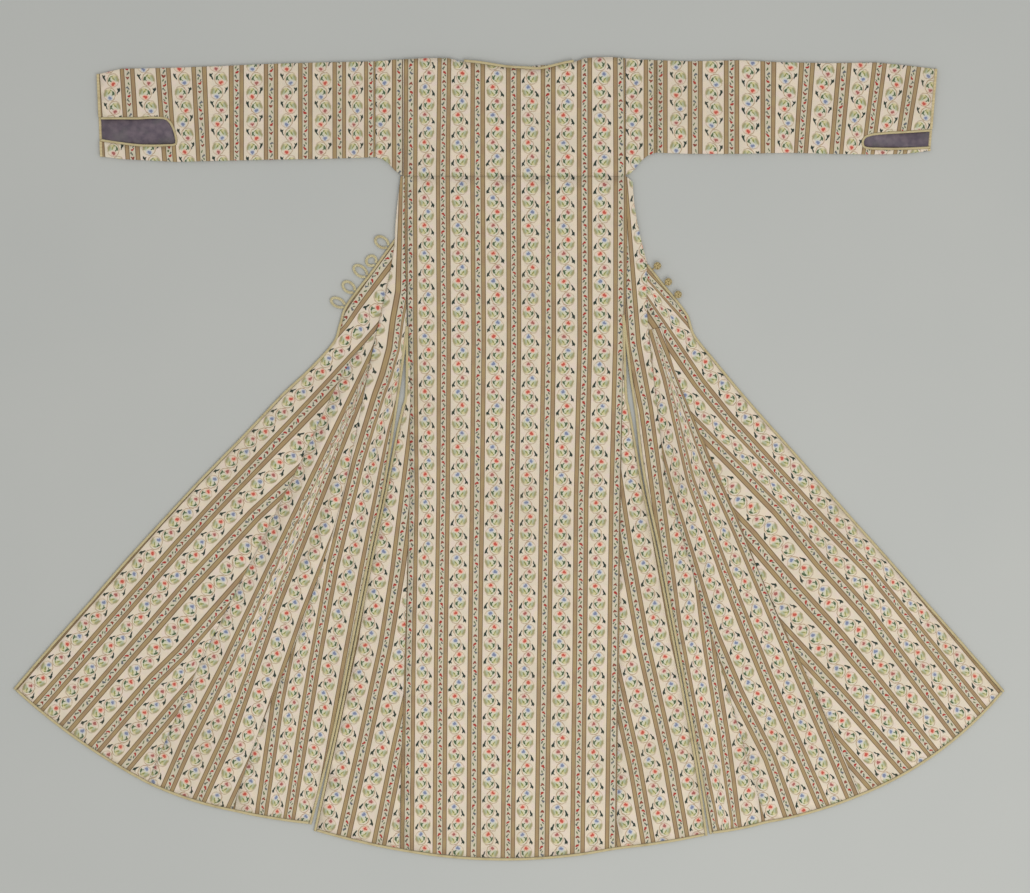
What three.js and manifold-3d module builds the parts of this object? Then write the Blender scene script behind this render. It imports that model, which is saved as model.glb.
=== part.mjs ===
// Long-sleeved striped robe, laid out flat on a surface with its back uppermost.
// Millimetres. +X runs to the right sleeve, +Y to the neck, +Z up. The origin is on the
// surface, below the middle of the robe's box. The back lies on the two front pieces down to
// the waist; below it the front skirts are spread out to the sides, outer face up.
import * as THREE from 'three';
import { mergeVertices } from 'three/addons/utils/BufferGeometryUtils.js';
import Module from 'manifold-3d';

const wasm = await Module();
wasm.setup();

// ---- Driving dimensions ---------------------------------------------------------------

const CENTRE_SHIFT = { x: 3.5, y: 2.5 }; // moves the tables' zero to the middle of the box
const WALL = 1.6;            // silk and cotton cloth with its lining
const HIDDEN_LAYERS = 2.9;   // front cloth, facing and lining, under the back
const LAYER_LIFT = 3.2;      // underside of the layer that lies on the fronts
const SEAM_GAP = 0.3;        // between two sewn pieces
const WAIST_TOP = 220;       // height up the robe where the back starts to sink
const WAIST_FOOT = 60;       // height up the robe where the back meets the surface
const PIPING_WIDTH = 4.4;
const PIPING_HEIGHT = 2.8;
const PIPING_CLEARANCE = 0.25; // piping above the surface
const END_CLEARANCE = 0.8;   // piping's end to the piping that crosses it
const SLIT_FADE = 60;        // length over which a slit's edge draws in for its piping
const SLEEVE_DEPTH = LAYER_LIFT + WALL;
const SLIT_PIPING = { width: 4, height: 2.4 };
const SLIT_OVERRUN = 20;     // how far the cut of a cuff slit runs on past its piping
const FOLD_ONSET = 0.25;     // share of a fold's length over which it rises
const FOLD_FADE = 0.35;      // share of a fold's length over which it sinks at the hem
const LINING_WALL = 1;
const LINING_MARGIN = 9;     // lining that runs on under the edge of the cuff slit
const CORD = 3.8;            // cord of the button loops
const KNOT = 12.5;           // knotted ball button

const CLOTH = { color: 0xd4c9b2, roughness: 0.85, metalness: 0 };
const LINING = { color: 0x5b5056, roughness: 0.8, metalness: 0 };
const PIPING = { color: 0xc9b37a, roughness: 0.6, metalness: 0 };
const BRAID = { color: 0xb79a55, roughness: 0.55, metalness: 0 };

// Top edge of the back yoke: armhole, shoulder, neck, shoulder, armhole.
const YOKE_TOP = [
  { x: -189, y: 696 }, { x: -149, y: 698 }, { x: -110, y: 698 }, { x: -54, y: 693 },
  { x: -9, y: 686 }, { x: 24, y: 684 }, { x: 52, y: 683 }, { x: 91, y: 692 },
  { x: 128, y: 698 }, { x: 173, y: 700 }, { x: 200, y: 698 },
];
const YOKE_SEAM_Y = 492;
const NECK = { left: -96, right: 112 };

// Back from yoke to hem, a row for each section: left slit edge, left seam, right seam and
// right slit edge. Above the slits the gores have no width.
const BACK = [
  { slitLeft: [-186, 492], seamLeft: [-186, 492], seamRight: [201, 492], slitRight: [201, 492] },
  { slitLeft: [-186, 381], seamLeft: [-186, 381], seamRight: [203, 381], slitRight: [203, 381] },
  { slitLeft: [-182, 276], seamLeft: [-182, 276], seamRight: [201, 276], slitRight: [201, 276] },
  { slitLeft: [-182, 178], seamLeft: [-177, 178], seamRight: [197, 190], slitRight: [199, 190] },
  { slitLeft: [-185, 118], seamLeft: [-176, 118], seamRight: [195, 118], slitRight: [203, 118] },
  { slitLeft: [-199, 53], seamLeft: [-177, 53], seamRight: [194, 53], slitRight: [214, 53] },
  { slitLeft: [-219, -50], seamLeft: [-177, -50], seamRight: [192, -50], slitRight: [232, -50] },
  { slitLeft: [-240, -150], seamLeft: [-180, -146], seamRight: [191, -150], slitRight: [254, -150] },
  { slitLeft: [-260, -249], seamLeft: [-183, -249], seamRight: [190, -249], slitRight: [273, -249] },
  { slitLeft: [-279, -344], seamLeft: [-186, -346], seamRight: [189, -346], slitRight: [291, -344] },
  { slitLeft: [-298, -438], seamLeft: [-189, -442], seamRight: [187, -442], slitRight: [308, -438] },
  { slitLeft: [-318, -529], seamLeft: [-192, -538], seamRight: [186, -538], slitRight: [325, -532] },
  { slitLeft: [-345, -653], seamLeft: [-196, -688], seamRight: [184, -686], slitRight: [344, -661] },
];
const SLIT_ROW = 3; // first section of the back where the gores have some width

// Hidden upper part of each front, under the back, a row for each section: opening edge,
// which swings out to the side at the waist, and side fold.
const BODICE_LEFT = [
  { front: [-24, 683], fold: [-187, 694] },
  { front: [-36, 612], fold: [-187, 608] },
  { front: [-58, 545], fold: [-187, 538] },
  { front: [-95, 480], fold: [-188.5, 480] },
  { front: [-140, 420], fold: [-196, 430] },
  { front: [-184, 366], fold: [-203, 384] },
];
const BODICE_RIGHT = [
  { front: [10, 683], fold: [200, 696] },
  { front: [24, 612], fold: [200, 608] },
  { front: [50, 540], fold: [200, 538] },
  { front: [90, 470], fold: [200.3, 480] },
  { front: [150, 395], fold: [217, 415] },
  { front: [216, 322], fold: [239, 339] },
];

// Strip of the side gore above the waist, folded over the edge of the front.
const STRIP_LEFT = [
  { side: [-193, 492], slit: [-186, 492] },
  { side: [-199, 442], slit: [-186, 447] },
  { side: [-203, 398], slit: [-186, 403] },
];
const STRIP_RIGHT = [
  { side: [213, 482], slit: [201, 492] },
  { side: [216, 440], slit: [202, 442] },
  { side: [226, 388], slit: [203, 391] },
];

// Front skirts from waist to hem, a row for each section: opening edge, seam between front
// and front gore, seam between front gore and side gore, and edge of the side slit.
const SKIRT_LEFT = [
  { front: [-203, 384], gore: [-184, 366], side: [-204, 370], slit: [-186, 370] },
  { front: [-247, 323], gore: [-200, 290], side: [-219, 286], slit: [-183, 276] },
  { front: [-292, 262], gore: [-241, 216], side: [-234, 223], slit: [-182.6, 196] },
  { front: [-312, 202], gore: [-278, 174], side: [-247, 160], slit: [-191, 139] },
  { front: [-399, 113], gore: [-324, 87], side: [-264, 74], slit: [-202, 66] },
  { front: [-472, 36], gore: [-369, -10], side: [-287, -36], slit: [-220, -50] },
  { front: [-544, -38], gore: [-418, -109], side: [-315, -144], slit: [-241, -150] },
  { front: [-609, -108], gore: [-466, -204], side: [-345, -232], slit: [-261, -249] },
  { front: [-674, -179], gore: [-513, -297], side: [-376, -321], slit: [-280, -344] },
  { front: [-740, -255], gore: [-548, -368], side: [-410, -403], slit: [-299, -438] },
  { front: [-807, -330], gore: [-590, -463], side: [-444, -487], slit: [-319.5, -529] },
  { front: [-871, -405], gore: [-637, -570], side: [-488, -619], slit: [-349, -642] },
];
const SKIRT_RIGHT = [
  { front: [239, 339], gore: [216, 322], side: [237, 335], slit: [202.5, 342] },
  { front: [273, 297], gore: [226, 290], side: [237, 279], slit: [201.5, 276] },
  { front: [310, 249], gore: [262, 227], side: [240, 223], slit: [199.8, 226] },
  { front: [320, 218], gore: [286, 151], side: [249, 139], slit: [206, 153] },
  { front: [350, 179], gore: [315, 78], side: [260, 52], slit: [217, 76] },
  { front: [415, 101], gore: [352, -8], side: [271, -39], slit: [225, 6] },
  { front: [502, 3], gore: [392, -97], side: [298, -134], slit: [237, -66] },
  { front: [593, -101], gore: [430, -193], side: [326, -228], slit: [257, -157] },
  { front: [663, -179], gore: [469, -281], side: [352, -314], slit: [274, -249] },
  { front: [724, -249], gore: [508, -361], side: [376, -396], slit: [292, -344] },
  { front: [786, -319], gore: [548, -447], side: [399, -477], slit: [309.5, -438] },
  { front: [864, -409], gore: [612, -592], side: [446, -640], slit: [347.5, -659] },
];
const GORE_ROW = 2; // first section of a skirt where the front gore has some width

// How far each stretch of hem bows out from a straight line.
const HEM_BOW = { frontLeft: 9, frontRight: 19, gore: 5, side: 2, backGore: 2, back: 18 };

// Soft folds of the front skirts: crest from waist to hem, height and half-width.
const FOLDS_LEFT = [
  { crest: [[-226, 250], [-262, 60], [-318, -120], [-395, -330]], height: 12, half: 34 },
  { crest: [[-262, 190], [-330, 10], [-410, -180], [-520, -390]], height: 10, half: 38 },
  { crest: [[-330, 120], [-450, -40], [-580, -190], [-700, -330]], height: 6, half: 46 },
  { crest: [[-204, 120], [-240, -90], [-285, -300], [-330, -560]], height: 6, half: 30 },
];
const FOLDS_RIGHT = [
  { crest: [[250, 250], [282, 60], [330, -120], [392, -340]], height: 12, half: 34 },
  { crest: [[280, 200], [345, 20], [425, -180], [520, -400]], height: 10, half: 38 },
  { crest: [[320, 140], [450, -10], [580, -170], [700, -330]], height: 6, half: 46 },
  { crest: [[216, 120], [250, -90], [300, -300], [345, -560]], height: 6, half: 30 },
];

// Sleeves from cuff to body, a row for each section: place along the sleeve, top edge and
// bottom edge. The short heads run from the piecing seam to the armhole.
const SLEEVE_LEFT = [
  { x: -682, top: 680, bottom: 522 },
  { x: -586, top: 682, bottom: 517 },
  { x: -504, top: 685, bottom: 519 },
  { x: -411, top: 689, bottom: 521 },
  { x: -334, top: 691, bottom: 522 },
  { x: -237.2, top: 693, bottom: 525 },
];
const SLEEVE_HEAD_LEFT = [
  { x: -236.8, top: 693, bottom: 525 },
  { x: -225, top: 694, bottom: 522 },
  { x: -214, top: 695, bottom: 514 },
  { x: -204, top: 696, bottom: 503 },
  { x: -196, top: 696, bottom: 496 },
  { x: -189.5, top: 696, bottom: 493 },
];
const SLEEVE_RIGHT = [
  { x: 690, top: 686, bottom: 531 },
  { x: 639, top: 691, bottom: 530 },
  { x: 562, top: 690, bottom: 531 },
  { x: 483, top: 691, bottom: 533 },
  { x: 399, top: 695, bottom: 531 },
  { x: 313, top: 693, bottom: 531 },
  { x: 253.8, top: 695, bottom: 533 },
];
const SLEEVE_HEAD_RIGHT = [
  { x: 200.8, top: 698, bottom: 494 },
  { x: 208, top: 698, bottom: 496 },
  { x: 217, top: 697, bottom: 505 },
  { x: 228, top: 696, bottom: 519 },
  { x: 239, top: 696, bottom: 528 },
  { x: 253.2, top: 695, bottom: 533 },
];

// Edge of each cuff: its lower end lies `lean` along X from its upper end.
const CUFF_LEFT = { x: -724.5, top: 671, bottom: 526, lean: 6 };
const CUFF_RIGHT = { x: 745.5, top: 680, bottom: 536, lean: -12 };

// Cuff slits in the upper layer: middle line of the piping round each, from the cuff's edge
// in and back.
const SLIT_LEFT = [
  { x: -718, y: 593 }, { x: -650, y: 593 }, { x: -606, y: 593 }, { x: -594, y: 583 },
  { x: -586, y: 560 }, { x: -586, y: 548 }, { x: -600, y: 546 }, { x: -652, y: 546 },
  { x: -718, y: 555 },
];
const SLIT_RIGHT = [
  { x: 735, y: 572 }, { x: 690, y: 569 }, { x: 642, y: 566 }, { x: 620, y: 561 },
  { x: 615, y: 553 }, { x: 617, y: 543 }, { x: 640, y: 540 }, { x: 690, y: 540 },
  { x: 733, y: 542 },
];

// Button loops on the left front edge: middle of the ring, its half-length and its width.
const LOOPS = [
  { name: 'button_loop_1', middle: [-228, 378], half: 12, width: 21 },
  { name: 'button_loop_2', middle: [-243, 343], half: 12, width: 22 },
  { name: 'button_loop_3', middle: [-266, 328], half: 12, width: 20 },
  { name: 'button_loop_4', middle: [-285, 299], half: 12, width: 20 },
  { name: 'button_loop_5', middle: [-305, 272], half: 12, width: 18 },
];
const LOOP_NECK = 4.3; // between the middles of the loop's two cords at its root
const LOOP_SEAT = 2.3; // from the front's edge to the middle of the cord's ends

// Knotted buttons on the right front edge: middle of each ball.
const KNOTS = [
  { name: 'knot_button_1', ball: [256, 335] },
  { name: 'knot_button_2', ball: [275, 307] },
  { name: 'knot_button_3', ball: [292, 285] },
];
const SHANK = 3.6;

// ---- Shared geometry ------------------------------------------------------------------

const garment = new THREE.Group();
garment.name = 'robe';

function addPiece(name, geometry, finish) {
  geometry.computeVertexNormals();
  const piece = new THREE.Mesh(geometry, new THREE.MeshStandardMaterial(finish));
  piece.name = name;
  piece.position.set(CENTRE_SHIFT.x, CENTRE_SHIFT.y, 0);
  garment.add(piece);
}

function smoothStep(value) {
  const t = Math.min(1, Math.max(0, value));
  return t * t * (3 - 2 * t);
}

// Underside of the layer that lies on the fronts above the waist and sinks below it.
function upperLayer(x, y) {
  return LAYER_LIFT * smoothStep((y - WAIST_FOOT) / (WAIST_TOP - WAIST_FOOT));
}

// Height of the soft folds at a point: each is a rounded ridge that fades at its two ends.
function foldHeight(folds, x, y) {
  let height = 0;
  for (const fold of folds) {
    const spans = fold.crest.length - 1;
    let nearest = Infinity;
    let along = 0;
    for (let i = 0; i < spans; i += 1) {
      const [ax, ay] = fold.crest[i];
      const [bx, by] = fold.crest[i + 1];
      const reach = (bx - ax) ** 2 + (by - ay) ** 2;
      const raw = ((x - ax) * (bx - ax) + (y - ay) * (by - ay)) / reach;
      const t = Math.min(1, Math.max(0, raw));
      const gap = Math.hypot(x - ax - t * (bx - ax), y - ay - t * (by - ay));
      if (gap < nearest) {
        nearest = gap;
        along = (i + t) / spans;
      }
    }
    if (nearest < fold.half) {
      const side = Math.cos((Math.PI * nearest) / (2 * fold.half)) ** 2;
      const rise = smoothStep(along / FOLD_ONSET) * smoothStep((1 - along) / FOLD_FADE);
      height += fold.height * side * rise;
    }
  }
  return height;
}

// Points along a smooth line through some table points, `steps` to a table row.
function smoothLine(points, steps) {
  const corners = points.map(([x, y]) => new THREE.Vector3(x, y, 0));
  const line = new THREE.CatmullRomCurve3(corners, false, 'centripetal');
  const count = steps * (points.length - 1);
  return Array.from({ length: count + 1 }, (unused, i) => line.getPoint(i / count));
}

function towards(from, to, distance) {
  return from.clone().lerp(to, distance / from.distanceTo(to));
}

function tangentAt(line, i) {
  const before = line[Math.max(0, i - 1)];
  const after = line[Math.min(line.length - 1, i + 1)];
  return new THREE.Vector3().subVectors(after, before).normalize();
}

// A point of a line moved towards another point until it lies `distance` in from the line.
function drawIn(point, along, target, distance) {
  const way = new THREE.Vector3().subVectors(target, point).normalize();
  const slant = Math.abs(along.x * way.y - along.y * way.x);
  return point.clone().addScaledVector(way, distance / slant);
}

// Closed solid through rings of equal count. A ring runs along the top and back below, so
// each end is closed by joining its first half to its second.
function loft(rings) {
  const size = rings[0].length;
  const positions = rings.flatMap((ring) => ring.flatMap((p) => [p.x, p.y, p.z]));
  const faces = [];
  for (let r = 0; r + 1 < rings.length; r += 1) {
    for (let i = 0; i < size; i += 1) {
      const a = r * size + i;
      const b = r * size + ((i + 1) % size);
      faces.push(a, b, b + size, a, b + size, a + size);
    }
  }
  const last = (rings.length - 1) * size;
  for (let i = 0; i + 1 < size / 2; i += 1) {
    const far = size - 1 - i;
    faces.push(i, far, far - 1, i, far - 1, i + 1);
    faces.push(last + i, last + i + 1, last + far - 1, last + i, last + far - 1, last + far);
  }
  return solidFrom(positions, faces);
}

// Geometry with its faces turned outwards.
function solidFrom(positions, faces) {
  let volume = 0;
  const corner = (i) => new THREE.Vector3(...positions.slice(3 * i, 3 * i + 3));
  for (let f = 0; f < faces.length; f += 3) {
    const [a, b, c] = [corner(faces[f]), corner(faces[f + 1]), corner(faces[f + 2])];
    volume += a.dot(b.cross(c));
  }
  const index = volume < 0 ? faces.slice().reverse() : faces;
  const geometry = new THREE.BufferGeometry();
  geometry.setAttribute('position', new THREE.Float32BufferAttribute(positions, 3));
  geometry.setIndex(index);
  return geometry;
}

// ---- Flat panels ----------------------------------------------------------------------

const STEPS = 2; // grid rows to a table row
const halfSeam = SEAM_GAP / 2;
const bound = PIPING_WIDTH + SEAM_GAP;
const SLIT_TOP = { backLeft: 178, backRight: 190, sideLeft: 200, sideRight: 215 };

// Cloth taken off an edge at a height: half a seam's gap, or the width of the piping.
const seamEdge = () => halfSeam;
const pipedEdge = () => bound;
const slitEdge = (top) => (y) => (
  halfSeam + (bound - halfSeam) * smoothStep((top - y) / SLIT_FADE));

// One edge of a row of pieces, from a table's column.
const edgeOf = (sections, column) => smoothLine(sections.map((row) => row[column]), STEPS);

// Rows of points across a panel, from one edge to the other, its hem bowed outwards.
function panelGrid({ edges: [first, second], columns, trims, hemBow = 0 }) {
  const last = first.length - 1;
  const fall = new THREE.Vector3().subVectors(first[last], first[0]);
  return first.map((start, r) => {
    const end = second[r];
    const from = drawIn(start, tangentAt(first, r), end, trims[0](start.y));
    const to = drawIn(end, tangentAt(second, r), start, trims[1](end.y));
    const down = new THREE.Vector3(end.y - start.y, start.x - end.x, 0).normalize();
    if (down.dot(fall) < 0) down.negate();
    return Array.from({ length: columns + 1 }, (unused, c) => {
      const across = (2 * c) / columns - 1;
      const bow = hemBow * (1 - across * across) * (r / last) ** 4;
      return from.clone().lerp(to, c / columns).addScaledVector(down, bow);
    });
  });
}

// A grid's top row or hem row, drawn in by some distance.
function rowIn(row, next, distance) {
  return row.map((p, c) => drawIn(p, tangentAt(row, c), next[c], distance));
}
const topRow = (grid, distance) => rowIn(grid[0], grid[1], distance);
const hemRow = (grid, distance) => rowIn(grid.at(-1), grid.at(-2), distance);

// A wall of cloth over rows of points: its underside follows `base`.
function clothWall(grid, base, wall) {
  const rings = grid.map((row, r) => {
    const thickness = wall(r / (grid.length - 1));
    const low = row.map((p) => new THREE.Vector3(p.x, p.y, base(p.x, p.y)));
    const high = low.map((p) => new THREE.Vector3(p.x, p.y, p.z + thickness));
    return high.concat(low.reverse());
  });
  return loft(rings);
}

const plainWall = () => WALL;
const hiddenWall = () => HIDDEN_LAYERS;
const flat = () => 0;
const foldsLeft = (x, y) => foldHeight(FOLDS_LEFT, x, y);
const foldsRight = (x, y) => foldHeight(FOLDS_RIGHT, x, y);
const overLeft = (x, y) => foldsLeft(x, y) + upperLayer(x, y);
const overRight = (x, y) => foldsRight(x, y) + upperLayer(x, y);

// A front is thick where the back covers it, and thins to a single cloth below the waist.
function skirtWall(share) {
  const fade = 8;
  return HIDDEN_LAYERS - (HIDDEN_LAYERS - WALL) * smoothStep(share * fade);
}

const seams = {
  slitBackLeft: edgeOf(BACK, 'slitLeft'),
  backLeft: edgeOf(BACK, 'seamLeft'),
  backRight: edgeOf(BACK, 'seamRight'),
  slitBackRight: edgeOf(BACK, 'slitRight'),
  openingLeft: edgeOf(SKIRT_LEFT, 'front'),
  openingRight: edgeOf(SKIRT_RIGHT, 'front'),
  goreLeft: edgeOf(SKIRT_LEFT, 'gore'),
  goreRight: edgeOf(SKIRT_RIGHT, 'gore'),
  sideLeft: edgeOf(STRIP_LEFT.concat(SKIRT_LEFT), 'side'),
  sideRight: edgeOf(STRIP_RIGHT.concat(SKIRT_RIGHT), 'side'),
  slitSideLeft: edgeOf(STRIP_LEFT.concat(SKIRT_LEFT), 'slit'),
  slitSideRight: edgeOf(STRIP_RIGHT.concat(SKIRT_RIGHT), 'slit'),
};
const belowWaist = STEPS * GORE_ROW;
const belowStrip = STEPS * (STRIP_LEFT.length + GORE_ROW);
const sidePiped = belowStrip + STEPS;
const belowSlit = STEPS * SLIT_ROW;
const backPiped = belowSlit + STEPS;

// Each panel: its two edges, its columns, what comes off the first edge, the second edge,
// the top and the hem, the bow of its hem, the height of its underside and its wall.
const PANELS = [
  { name: 'back_panel', edges: [seams.backLeft, seams.backRight], columns: 6,
    trims: [seamEdge, seamEdge, halfSeam, bound], hemBow: HEM_BOW.back,
    base: upperLayer, wall: plainWall },
  { name: 'back_gore_left', columns: 3,
    edges: [seams.slitBackLeft.slice(belowSlit), seams.backLeft.slice(belowSlit)],
    trims: [slitEdge(SLIT_TOP.backLeft), seamEdge, 0, bound], hemBow: HEM_BOW.backGore,
    base: upperLayer, wall: plainWall },
  { name: 'back_gore_right', columns: 3,
    edges: [seams.slitBackRight.slice(belowSlit), seams.backRight.slice(belowSlit)],
    trims: [slitEdge(SLIT_TOP.backRight), seamEdge, 0, bound], hemBow: HEM_BOW.backGore,
    base: upperLayer, wall: plainWall },
  { name: 'front_bodice_left', columns: 2,
    edges: [edgeOf(BODICE_LEFT, 'front'), edgeOf(BODICE_LEFT, 'fold')],
    trims: [seamEdge, seamEdge, halfSeam, halfSeam], base: flat, wall: hiddenWall },
  { name: 'front_bodice_right', columns: 2,
    edges: [edgeOf(BODICE_RIGHT, 'front'), edgeOf(BODICE_RIGHT, 'fold')],
    trims: [seamEdge, seamEdge, halfSeam, halfSeam], base: flat, wall: hiddenWall },
  { name: 'front_left', edges: [seams.openingLeft, seams.goreLeft], columns: 12,
    trims: [pipedEdge, seamEdge, halfSeam, bound], hemBow: HEM_BOW.frontLeft,
    base: foldsLeft, wall: skirtWall },
  { name: 'front_right', edges: [seams.openingRight, seams.goreRight], columns: 12,
    trims: [pipedEdge, seamEdge, halfSeam, bound], hemBow: HEM_BOW.frontRight,
    base: foldsRight, wall: skirtWall },
  { name: 'front_gore_left', columns: 7,
    edges: [seams.goreLeft.slice(belowWaist), seams.sideLeft.slice(belowStrip)],
    trims: [seamEdge, seamEdge, 0, bound], hemBow: HEM_BOW.gore,
    base: foldsLeft, wall: plainWall },
  { name: 'front_gore_right', columns: 7,
    edges: [seams.goreRight.slice(belowWaist), seams.sideRight.slice(belowStrip)],
    trims: [seamEdge, seamEdge, 0, bound], hemBow: HEM_BOW.gore,
    base: foldsRight, wall: plainWall },
  { name: 'side_gore_left', edges: [seams.sideLeft, seams.slitSideLeft], columns: 4,
    trims: [seamEdge, slitEdge(SLIT_TOP.sideLeft), halfSeam, bound], hemBow: HEM_BOW.side,
    base: overLeft, wall: plainWall },
  { name: 'side_gore_right', edges: [seams.sideRight, seams.slitSideRight], columns: 4,
    trims: [seamEdge, slitEdge(SLIT_TOP.sideRight), halfSeam, bound], hemBow: HEM_BOW.side,
    base: overRight, wall: plainWall },
];

const hems = {};
for (const panel of PANELS) {
  const grid = panelGrid(panel);
  const [, , atTop, atHem] = panel.trims;
  const cut = [topRow(grid, atTop), ...grid.slice(1, -1), hemRow(grid, atHem)];
  addPiece(panel.name, clothWall(cut, panel.base, panel.wall), CLOTH);
  hems[panel.name] = hemRow(grid, PIPING_WIDTH / 2);
}

// The yoke: one cloth across the shoulders, hollowed for the back of the neck.
const yokeLine = smoothLine(YOKE_TOP.map((p) => [p.x, p.y]), STEPS);
const isAtNeck = (p) => p.x > NECK.left && p.x < NECK.right;
const yokeGrid = yokeLine.map((p, i) => {
  const inset = { 0: halfSeam, [yokeLine.length - 1]: -halfSeam }[i] ?? 0;
  const upper = new THREE.Vector3(p.x + inset, p.y - (isAtNeck(p) ? bound : 0), 0);
  return [upper, new THREE.Vector3(p.x + inset, YOKE_SEAM_Y + halfSeam, 0)];
});
addPiece('back_yoke', clothWall(yokeGrid, upperLayer, plainWall), CLOTH);

// ---- Piping ---------------------------------------------------------------------------

// A flat six-sided cord along a line, on the surface or on cloth.
function cordAlong(line, { width, height, base }) {
  const sides = 6;
  const rings = line.map((p, i) => {
    const along = tangentAt(line, i);
    const middle = base(p.x, p.y) + height / 2;
    return Array.from({ length: sides }, (unused, k) => {
      const angle = (k * 2 * Math.PI) / sides;
      const out = (width / 2) * Math.cos(angle);
      const up = ((height / 2) * Math.sin(angle)) / Math.sin(Math.PI / 3);
      return new THREE.Vector3(p.x - along.y * out, p.y + along.x * out, middle + up);
    });
  });
  return loft(rings);
}

// A line with both its ends drawn in.
function clearEnds(line) {
  const last = line.length - 1;
  const ends = { 0: line[1], [last]: line[last - 1] };
  return line.map((p, i) => (ends[i] ? towards(p, ends[i], END_CLEARANCE) : p));
}

function addPiping(name, line, base) {
  const lifted = (x, y) => base(x, y) + PIPING_CLEARANCE;
  const size = { width: PIPING_WIDTH, height: PIPING_HEIGHT, base: lifted };
  addPiece(name, cordAlong(line, size), PIPING);
}

const edgePiping = (edge, inner) => rowIn(edge, inner, PIPING_WIDTH / 2);
const joined = (...stretches) => stretches.flatMap((line, i) => (i ? line.slice(1) : line));

addPiping('front_piping_left',
  clearEnds(edgePiping(seams.openingLeft, seams.goreLeft)), foldsLeft);
addPiping('front_piping_right',
  clearEnds(edgePiping(seams.openingRight, seams.goreRight)), foldsRight);
addPiping('side_slit_piping_left',
  edgePiping(seams.slitSideLeft, seams.sideLeft).slice(sidePiped), overLeft);
addPiping('side_slit_piping_right',
  edgePiping(seams.slitSideRight, seams.sideRight).slice(sidePiped), overRight);
addPiping('back_slit_piping_left',
  edgePiping(seams.slitBackLeft.slice(belowSlit), seams.backLeft.slice(belowSlit))
    .slice(backPiped - belowSlit), upperLayer);
addPiping('back_slit_piping_right',
  edgePiping(seams.slitBackRight.slice(belowSlit), seams.backRight.slice(belowSlit))
    .slice(backPiped - belowSlit), upperLayer);
addPiping('front_hem_piping_left',
  clearEnds(joined(hems.front_left, hems.front_gore_left, hems.side_gore_left)), foldsLeft);
addPiping('front_hem_piping_right',
  clearEnds(joined(hems.front_right, hems.front_gore_right, hems.side_gore_right)), foldsRight);
addPiping('back_hem_piping', clearEnds(joined(
  hems.back_gore_left, hems.back_panel, hems.back_gore_right.slice().reverse())), flat);
addPiping('neck_piping', yokeLine.filter(isAtNeck)
  .map((p) => new THREE.Vector3(p.x, p.y - PIPING_WIDTH / 2, 0)), upperLayer);

// ---- Sleeves --------------------------------------------------------------------------

// Place along the sleeve of a section's point at height y.
const sectionX = ({ x, top, bottom, lean = 0 }, y) => x + (lean * (top - y)) / (top - bottom);

// One flattened loop round a sleeve, `inset` inside its outer face.
function sleeveRing(section, inset) {
  const { top, bottom } = section;
  const radius = SLEEVE_DEPTH / 2;
  const round = radius - inset;
  const arcSteps = 4;
  const wallSteps = 5;
  const at = (y, z) => new THREE.Vector3(sectionX(section, y), y, z);
  const turn = (middle, start) => Array.from({ length: arcSteps + 1 }, (unused, i) => {
    const angle = start - (i * Math.PI) / arcSteps;
    return at(middle + round * Math.cos(angle), radius + round * Math.sin(angle));
  });
  const wall = (from, to, z) => Array.from({ length: wallSteps - 1 }, (unused, i) => (
    at(from + ((to - from) * (i + 1)) / wallSteps, z)));
  const upperTurn = turn(top - radius, Math.PI / 2);
  const lowerTurn = turn(bottom + radius, -Math.PI / 2);
  const under = wall(top - radius, bottom + radius, radius - round);
  const over = wall(bottom + radius, top - radius, radius + round);
  return [...upperTurn, ...under, ...lowerTurn, ...over];
}

// A tube of cloth, open at both ends, through flattened loops.
function tubeWall(sections) {
  const outer = sections.map((section) => sleeveRing(section, 0));
  const inner = sections.map((section) => sleeveRing(section, WALL));
  const size = outer[0].length;
  const rings = outer.concat(inner);
  const positions = rings.flatMap((ring) => ring.flatMap((p) => [p.x, p.y, p.z]));
  const at = (wall, r, i) => (wall * sections.length + r) * size + (i % size);
  const faces = [];
  const quad = (a, b, c, d) => faces.push(a, b, c, a, c, d);
  const last = sections.length - 1;
  for (let i = 0; i < size; i += 1) {
    for (let r = 0; r < last; r += 1) {
      quad(at(0, r, i), at(0, r, i + 1), at(0, r + 1, i + 1), at(0, r + 1, i));
      quad(at(1, r, i), at(1, r + 1, i), at(1, r + 1, i + 1), at(1, r, i + 1));
    }
    quad(at(0, 0, i + 1), at(0, 0, i), at(1, 0, i), at(1, 0, i + 1));
    quad(at(0, last, i), at(0, last, i + 1), at(1, last, i + 1), at(1, last, i));
  }
  return solidFrom(positions, faces);
}

function toManifold(geometry) {
  const bare = geometry.clone();
  bare.deleteAttribute('normal');
  bare.deleteAttribute('uv');
  const merged = mergeVertices(bare);
  return new wasm.Manifold(new wasm.Mesh({
    numProp: 3,
    vertProperties: new Float32Array(merged.attributes.position.array),
    triVerts: new Uint32Array(merged.index.array),
  }));
}

function fromManifold(solid) {
  const mesh = solid.getMesh();
  const geometry = new THREE.BufferGeometry();
  geometry.setAttribute('position', new THREE.Float32BufferAttribute(mesh.vertProperties, 3));
  geometry.setIndex(Array.from(mesh.triVerts));
  return geometry;
}

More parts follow.
